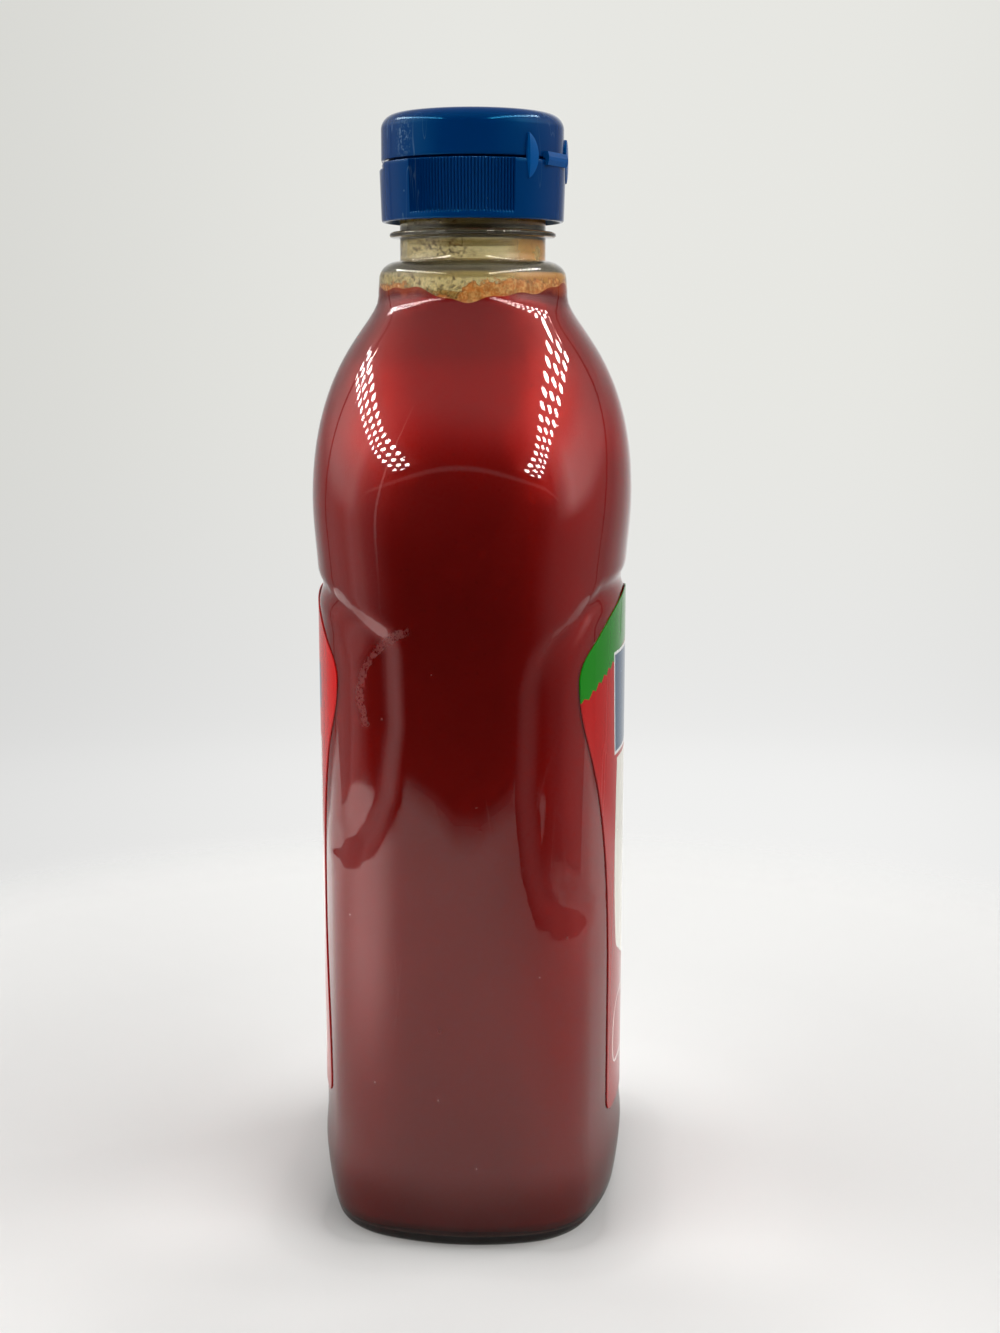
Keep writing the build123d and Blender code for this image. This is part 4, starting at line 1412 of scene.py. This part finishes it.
# ------------------------------------------------------------------ surroundings
@dataclass
class LightTent:
    """A pale floor in a white tent with an open front and rows of small lamps overhead. The walls,
    the roof and the lamps are directions of the world's light; angles are in radians from +X."""

    ceiling: float = 0.222
    opening: float = 0.02
    roof: float = 0.46
    beam: float = 0.30
    lamp: float = 38.0
    pitch: float = 0.038
    bead: float = 0.0105
    # How far the floor reaches, by the angle from -X towards +Y
    floor_edge: Line = (
        (-3.1416, 0.23), (-2.60, 0.27), (-1.85, 0.50), (-1.65, 0.26), (-0.56, 0.24), (-0.48, 0.42),
        (-0.22, 0.37), (-0.10, 0.345), (0.10, 0.345), (0.25, 0.38), (0.48, 0.42), (0.56, 0.36),
        (1.65, 0.33), (1.85, 0.50), (2.60, 0.27), (3.1416, 0.23))
    shown_edge: float = 0.25
    foot_half: tuple[float, float] = (0.027, 0.020)     # half size of the bottle's foot on the floor
    # Painted shadow and light: how pale the seen floor is, by the distance from the foot
    seen_floor_painted_shadow: Line = ((0.012, 0.56), (0.023, 0.78), (0.035, 0.86), (0.07, 0.80), (0.12, 0.755))
    # Brightness of the walls, low down and higher up
    low_wall: Line = (
        (-3.1416, 0.0), (-2.65, 0.0), (-2.50, 0.12), (-2.30, 0.22), (-1.90, 0.30), (-1.50, 0.36),
        (-1.00, 0.25), (-0.70, 0.18), (-0.45, 0.35), (-0.10, 0.80), (0.10, 0.80), (0.40, 0.40),
        (0.60, 0.25), (1.10, 0.30), (1.40, 0.50), (1.75, 0.48), (1.95, 0.80), (2.20, 0.60),
        (2.38, 0.24), (2.50, 0.06), (2.56, 0.0), (3.1416, 0.0))
    high_wall: Line = (
        (-3.1416, 0.0), (-2.40, 0.0), (-2.15, 0.75), (-1.92, 1.9), (-1.60, 1.3), (-1.20, 0.60),
        (-0.80, 0.2), (0.80, 0.2), (1.20, 0.7), (1.70, 1.0), (1.98, 0.75), (2.18, 0.05), (3.1416, 0.0))
    # Rows of lamps: place across the roof, lean, where the row ends, and its shift in pitches
    rows: Sequence[tuple[float, float, float, float]] = (
        (0.292, 0.15, 0.20, 0.0), (0.320, 0.15, 0.20, 0.5), (0.348, 0.15, 0.20, 0.0),
        (-0.203, 0.0, 0.14, 0.0), (-0.228, 0.0, 0.14, 0.5), (-0.253, 0.0, 0.14, 0.0))
    row_start: float = -0.42
    # How bright the seen backdrop is, by the slope of the line of sight
    backdrop: Line = (
        (-1.2, 0.84), (-0.30, 0.88), (-0.24, 0.86), (-0.16, 0.80), (0.1, 0.80), (0.5, 0.78), (1.2, 0.8))

    def build_floor(self) -> None:
        """Builds the floor, which ends at the tent's walls and fades out into the backdrop."""
        mesh = bmesh.new()
        bmesh.ops.create_circle(mesh, cap_ends=True, segments=96, radius=1.0)
        floor = finish_mesh(mesh, "studio_floor")
        material, w, shader = new_material("studio floor")
        x, y, _ = w.split(w.place())
        # Painted shade: close round the foot the floor is a little darker
        outside = [w.math("SUBTRACT", w.math("ABSOLUTE", side), half)
                   for side, half in ((x, self.foot_half[0]), (y, self.foot_half[1]))]
        foot = w.length(*(w.math("MAXIMUM", out, 0.0) for out in outside))
        painted_shade_floor = w.mix(w.step(foot, 0.012, 0.055), (0.30, 0.30, 0.29, 1.0), (0.86, 0.86, 0.85, 1.0))
        # Painted shade: the floor on the -Y side is darker for everything but the eye
        painted_shade_floor = w.shade(painted_shade_floor, w.step(y, -0.16, -0.02, 0.66, 1.0))
        # What the eye sees of the floor: a painted shadow, light at the sides and darker before the foot
        front = w.product(w.step(x, -0.06, -0.03, 1.0, 0.0),
                          w.step(w.math("ABSOLUTE", y), 0.04, 0.10, 1.0, 0.0))
        level = w.product(w.curve(foot, self.seen_floor_painted_shadow), w.math("MULTIPLY_ADD", front, -0.18, 1.0))
        seen = seen_directly(w)
        far = w.length(x, y)
        turn = w.math("ARCTAN2", y, w.product(x, -1.0))
        edge = w.curve(turn, self.floor_edge, vector=True)
        edge = w.math("MULTIPLY_ADD", seen, w.math("SUBTRACT", self.shown_edge, edge), edge)
        # Painted light: a glowing strip of floor on the +Y side, which shows in the gloss alone
        painted_glow = w.product(w.step(turn, 0.50, 0.76), w.step(turn, 1.0, 1.6, 1.0, 0.15),
                         w.step(far, 0.10, 0.24), w.math("SUBTRACT", 1.0, seen))
        w.fill(shader, {"Roughness": 0.55, "Specular IOR Level": 0.25, "Emission Strength": 1.4,
                        "Base Color": w.mix(seen, painted_shade_floor, w.shade((1.0, 1.0, 0.995, 1.0), level)),
                        "Alpha": w.step(w.math("SUBTRACT", far, edge), -0.01, 0.07, 1.0, 0.0),
                        "Emission Color": w.mix(painted_glow, (0.0, 0.0, 0.0, 1.0), (1.0, 1.0, 0.98, 1.0))})
        floor.data.materials.append(material)

    def lamp_row(self, w: Wiring, across: object, along: object, row: Sequence[float]) -> Socket:
        """One row of round lamps on the flat roof.

        Args:
            w: The world's wiring.
            across: Place across the roof.
            along: Place along the roof.
            row: One of the tent's rows.

        Returns:
            The row's brightness.
        """
        middle, lean, end, shift = row
        off = w.math("SUBTRACT", w.math("SUBTRACT", across, w.product(along, lean)), middle)
        cell = w.math("FRACT", w.math("ADD", w.math("DIVIDE", along, self.pitch), shift))
        cell = w.product(w.math("SUBTRACT", cell, 0.5), self.pitch)
        disc = w.step(w.length(off, cell), self.bead * 0.72, self.bead, 1.0, 0.0)
        haze = w.step(w.math("ABSOLUTE", off), 0.0, 0.06, 0.005, 0.0)
        return w.product(w.math("ADD", disc, haze), w.step(along, self.row_start, self.row_start + 0.01),
                         w.step(along, end, end + 0.01, 1.0, 0.0))

    def build_world(self) -> None:
        """Builds the light: walls, roof and open front by direction, and a pale backdrop."""
        world = bpy.data.worlds.new("light tent")
        bpy.context.scene.world = world
        world.use_nodes = True
        w = Wiring(world.node_tree)
        background = world.node_tree.nodes["Background"]
        x, y, z = w.split(w.node("ShaderNodeTexCoord").outputs["Generated"])
        turn = w.math("ARCTAN2", y, x)
        up = w.math("DIVIDE", z, w.math("MAXIMUM", w.length(x, y), 0.0001))
        tone = w.math("MULTIPLY_ADD", w.curve(turn, self.high_wall, vector=True),
                      w.product(w.step(up, 0.08, 0.30), w.step(up, 0.45, 0.95, 1.0, 0.0)),
                      w.math("ADD", w.curve(turn, self.low_wall, vector=True), self.opening))
        # Thin dark seams at the back corners, and the pale edge of the +Y upright
        for seam in (1.085, -0.83):
            tone = w.product(tone, w.step(w.gap(turn, seam), 0.012, 0.03, 0.25, 1.0))
        upright = w.step(w.gap(turn, 2.44), 0.004, 0.014, 1.0, 0.0)
        tone = w.math("MULTIPLY_ADD", upright, w.step(up, -0.05, 0.20, 0.1, 0.7), tone)
        # The roof brightens away from its front edge, where a pale beam runs across
        lift = w.step(up, 0.50, 1.0)
        tone = w.math("ADD", w.product(tone, w.math("SUBTRACT", 1.0, lift)), w.product(lift, self.roof))
        rise = w.math("DIVIDE", z, w.math("MAXIMUM", w.product(x, -1.0), 0.0001))
        beam = w.product(w.step(w.gap(rise, 0.47), 0.004, 0.022, 1.0, 0.0),
                         w.step(x, -0.70, -0.60, 1.0, 0.0))
        tone = w.math("MULTIPLY_ADD", beam, self.beam, tone)
        # Lamps: rows on the flat roof, which lean a little on the +Y side
        height = w.math("MAXIMUM", z, 0.02)
        across, along = (w.product(w.math("DIVIDE", side, height), self.ceiling) for side in (y, x))
        light: object = 0.0
        for row in self.rows:
            light = w.math("ADD", light, self.lamp_row(w, across, along, row))
        tone = w.math("ADD", tone, w.product(light, self.lamp, w.step(z, 0.1, 0.15)))
        white = w.shade((1.0, 0.995, 0.98, 1.0), tone)
        colour = w.mix(seen_directly(w), white, self._shown(w, turn, up))
        w.fill(background, {"Color": colour, "Strength": 1.0})

    def _shown(self, w: Wiring, turn: object, up: object) -> Socket:
        """The pale backdrop as the eye sees it, a little darker to the sides and higher up."""
        bow = w.step(w.math("ABSOLUTE", turn), 0.08, 0.45, 1.0, 0.84)
        tint = w.mix(w.step(up, -0.25, 0.0), (1.0, 1.0, 0.99, 1.0), (1.0, 1.0, 0.955, 1.0))
        return w.shade(tint, w.product(w.curve(up, self.backdrop), bow))


@dataclass
class StudioCamera:
    """The camera: height, distance, turn and pitch."""

    distance: float = 0.4088
    height: float = 0.2012
    turn: float = math.radians(5.0)
    pitch: float = math.radians(10.69)
    side_step: float = 0.006
    lens: float = 48.61

    def build(self) -> None:
        """Adds the camera and makes it the scene's."""
        back = Vector((-math.cos(self.turn), -math.sin(self.turn), 0.0))
        right = Vector((math.sin(self.turn), -math.cos(self.turn), 0.0))
        data = bpy.data.cameras.new("camera")
        data.lens = self.lens
        data.sensor_width = 36.0
        data.clip_start = 0.01
        camera = bpy.data.objects.new("camera", data)
        camera.location = back * self.distance + right * self.side_step + Vector((0.0, 0.0, self.height))
        view = -back * math.cos(self.pitch) - Vector((0.0, 0.0, math.sin(self.pitch)))
        camera.rotation_euler = view.to_track_quat("-Z", "Y").to_euler()
        bpy.context.scene.collection.objects.link(camera)
        bpy.context.scene.camera = camera


def report(piece: bpy.types.Object) -> None:
    """Logs a piece's name and face count."""
    LOG.info("%s: %d faces", piece.name, len(piece.data.polygons))


def write_size() -> None:
    """Updates the view layer."""
    bpy.context.view_layer.update()


def main() -> None:
    """Builds the bottle, its cap and the studio."""
    logging.basicConfig(level=logging.INFO, format="%(message)s")
    bpy.context.scene.view_settings.view_transform = "Standard"
    Bottle().dress()
    Cap().dress()
    tent = LightTent()
    tent.build_floor()
    tent.build_world()
    StudioCamera().build()
    write_size()


if __name__ == "__main__":
    main()
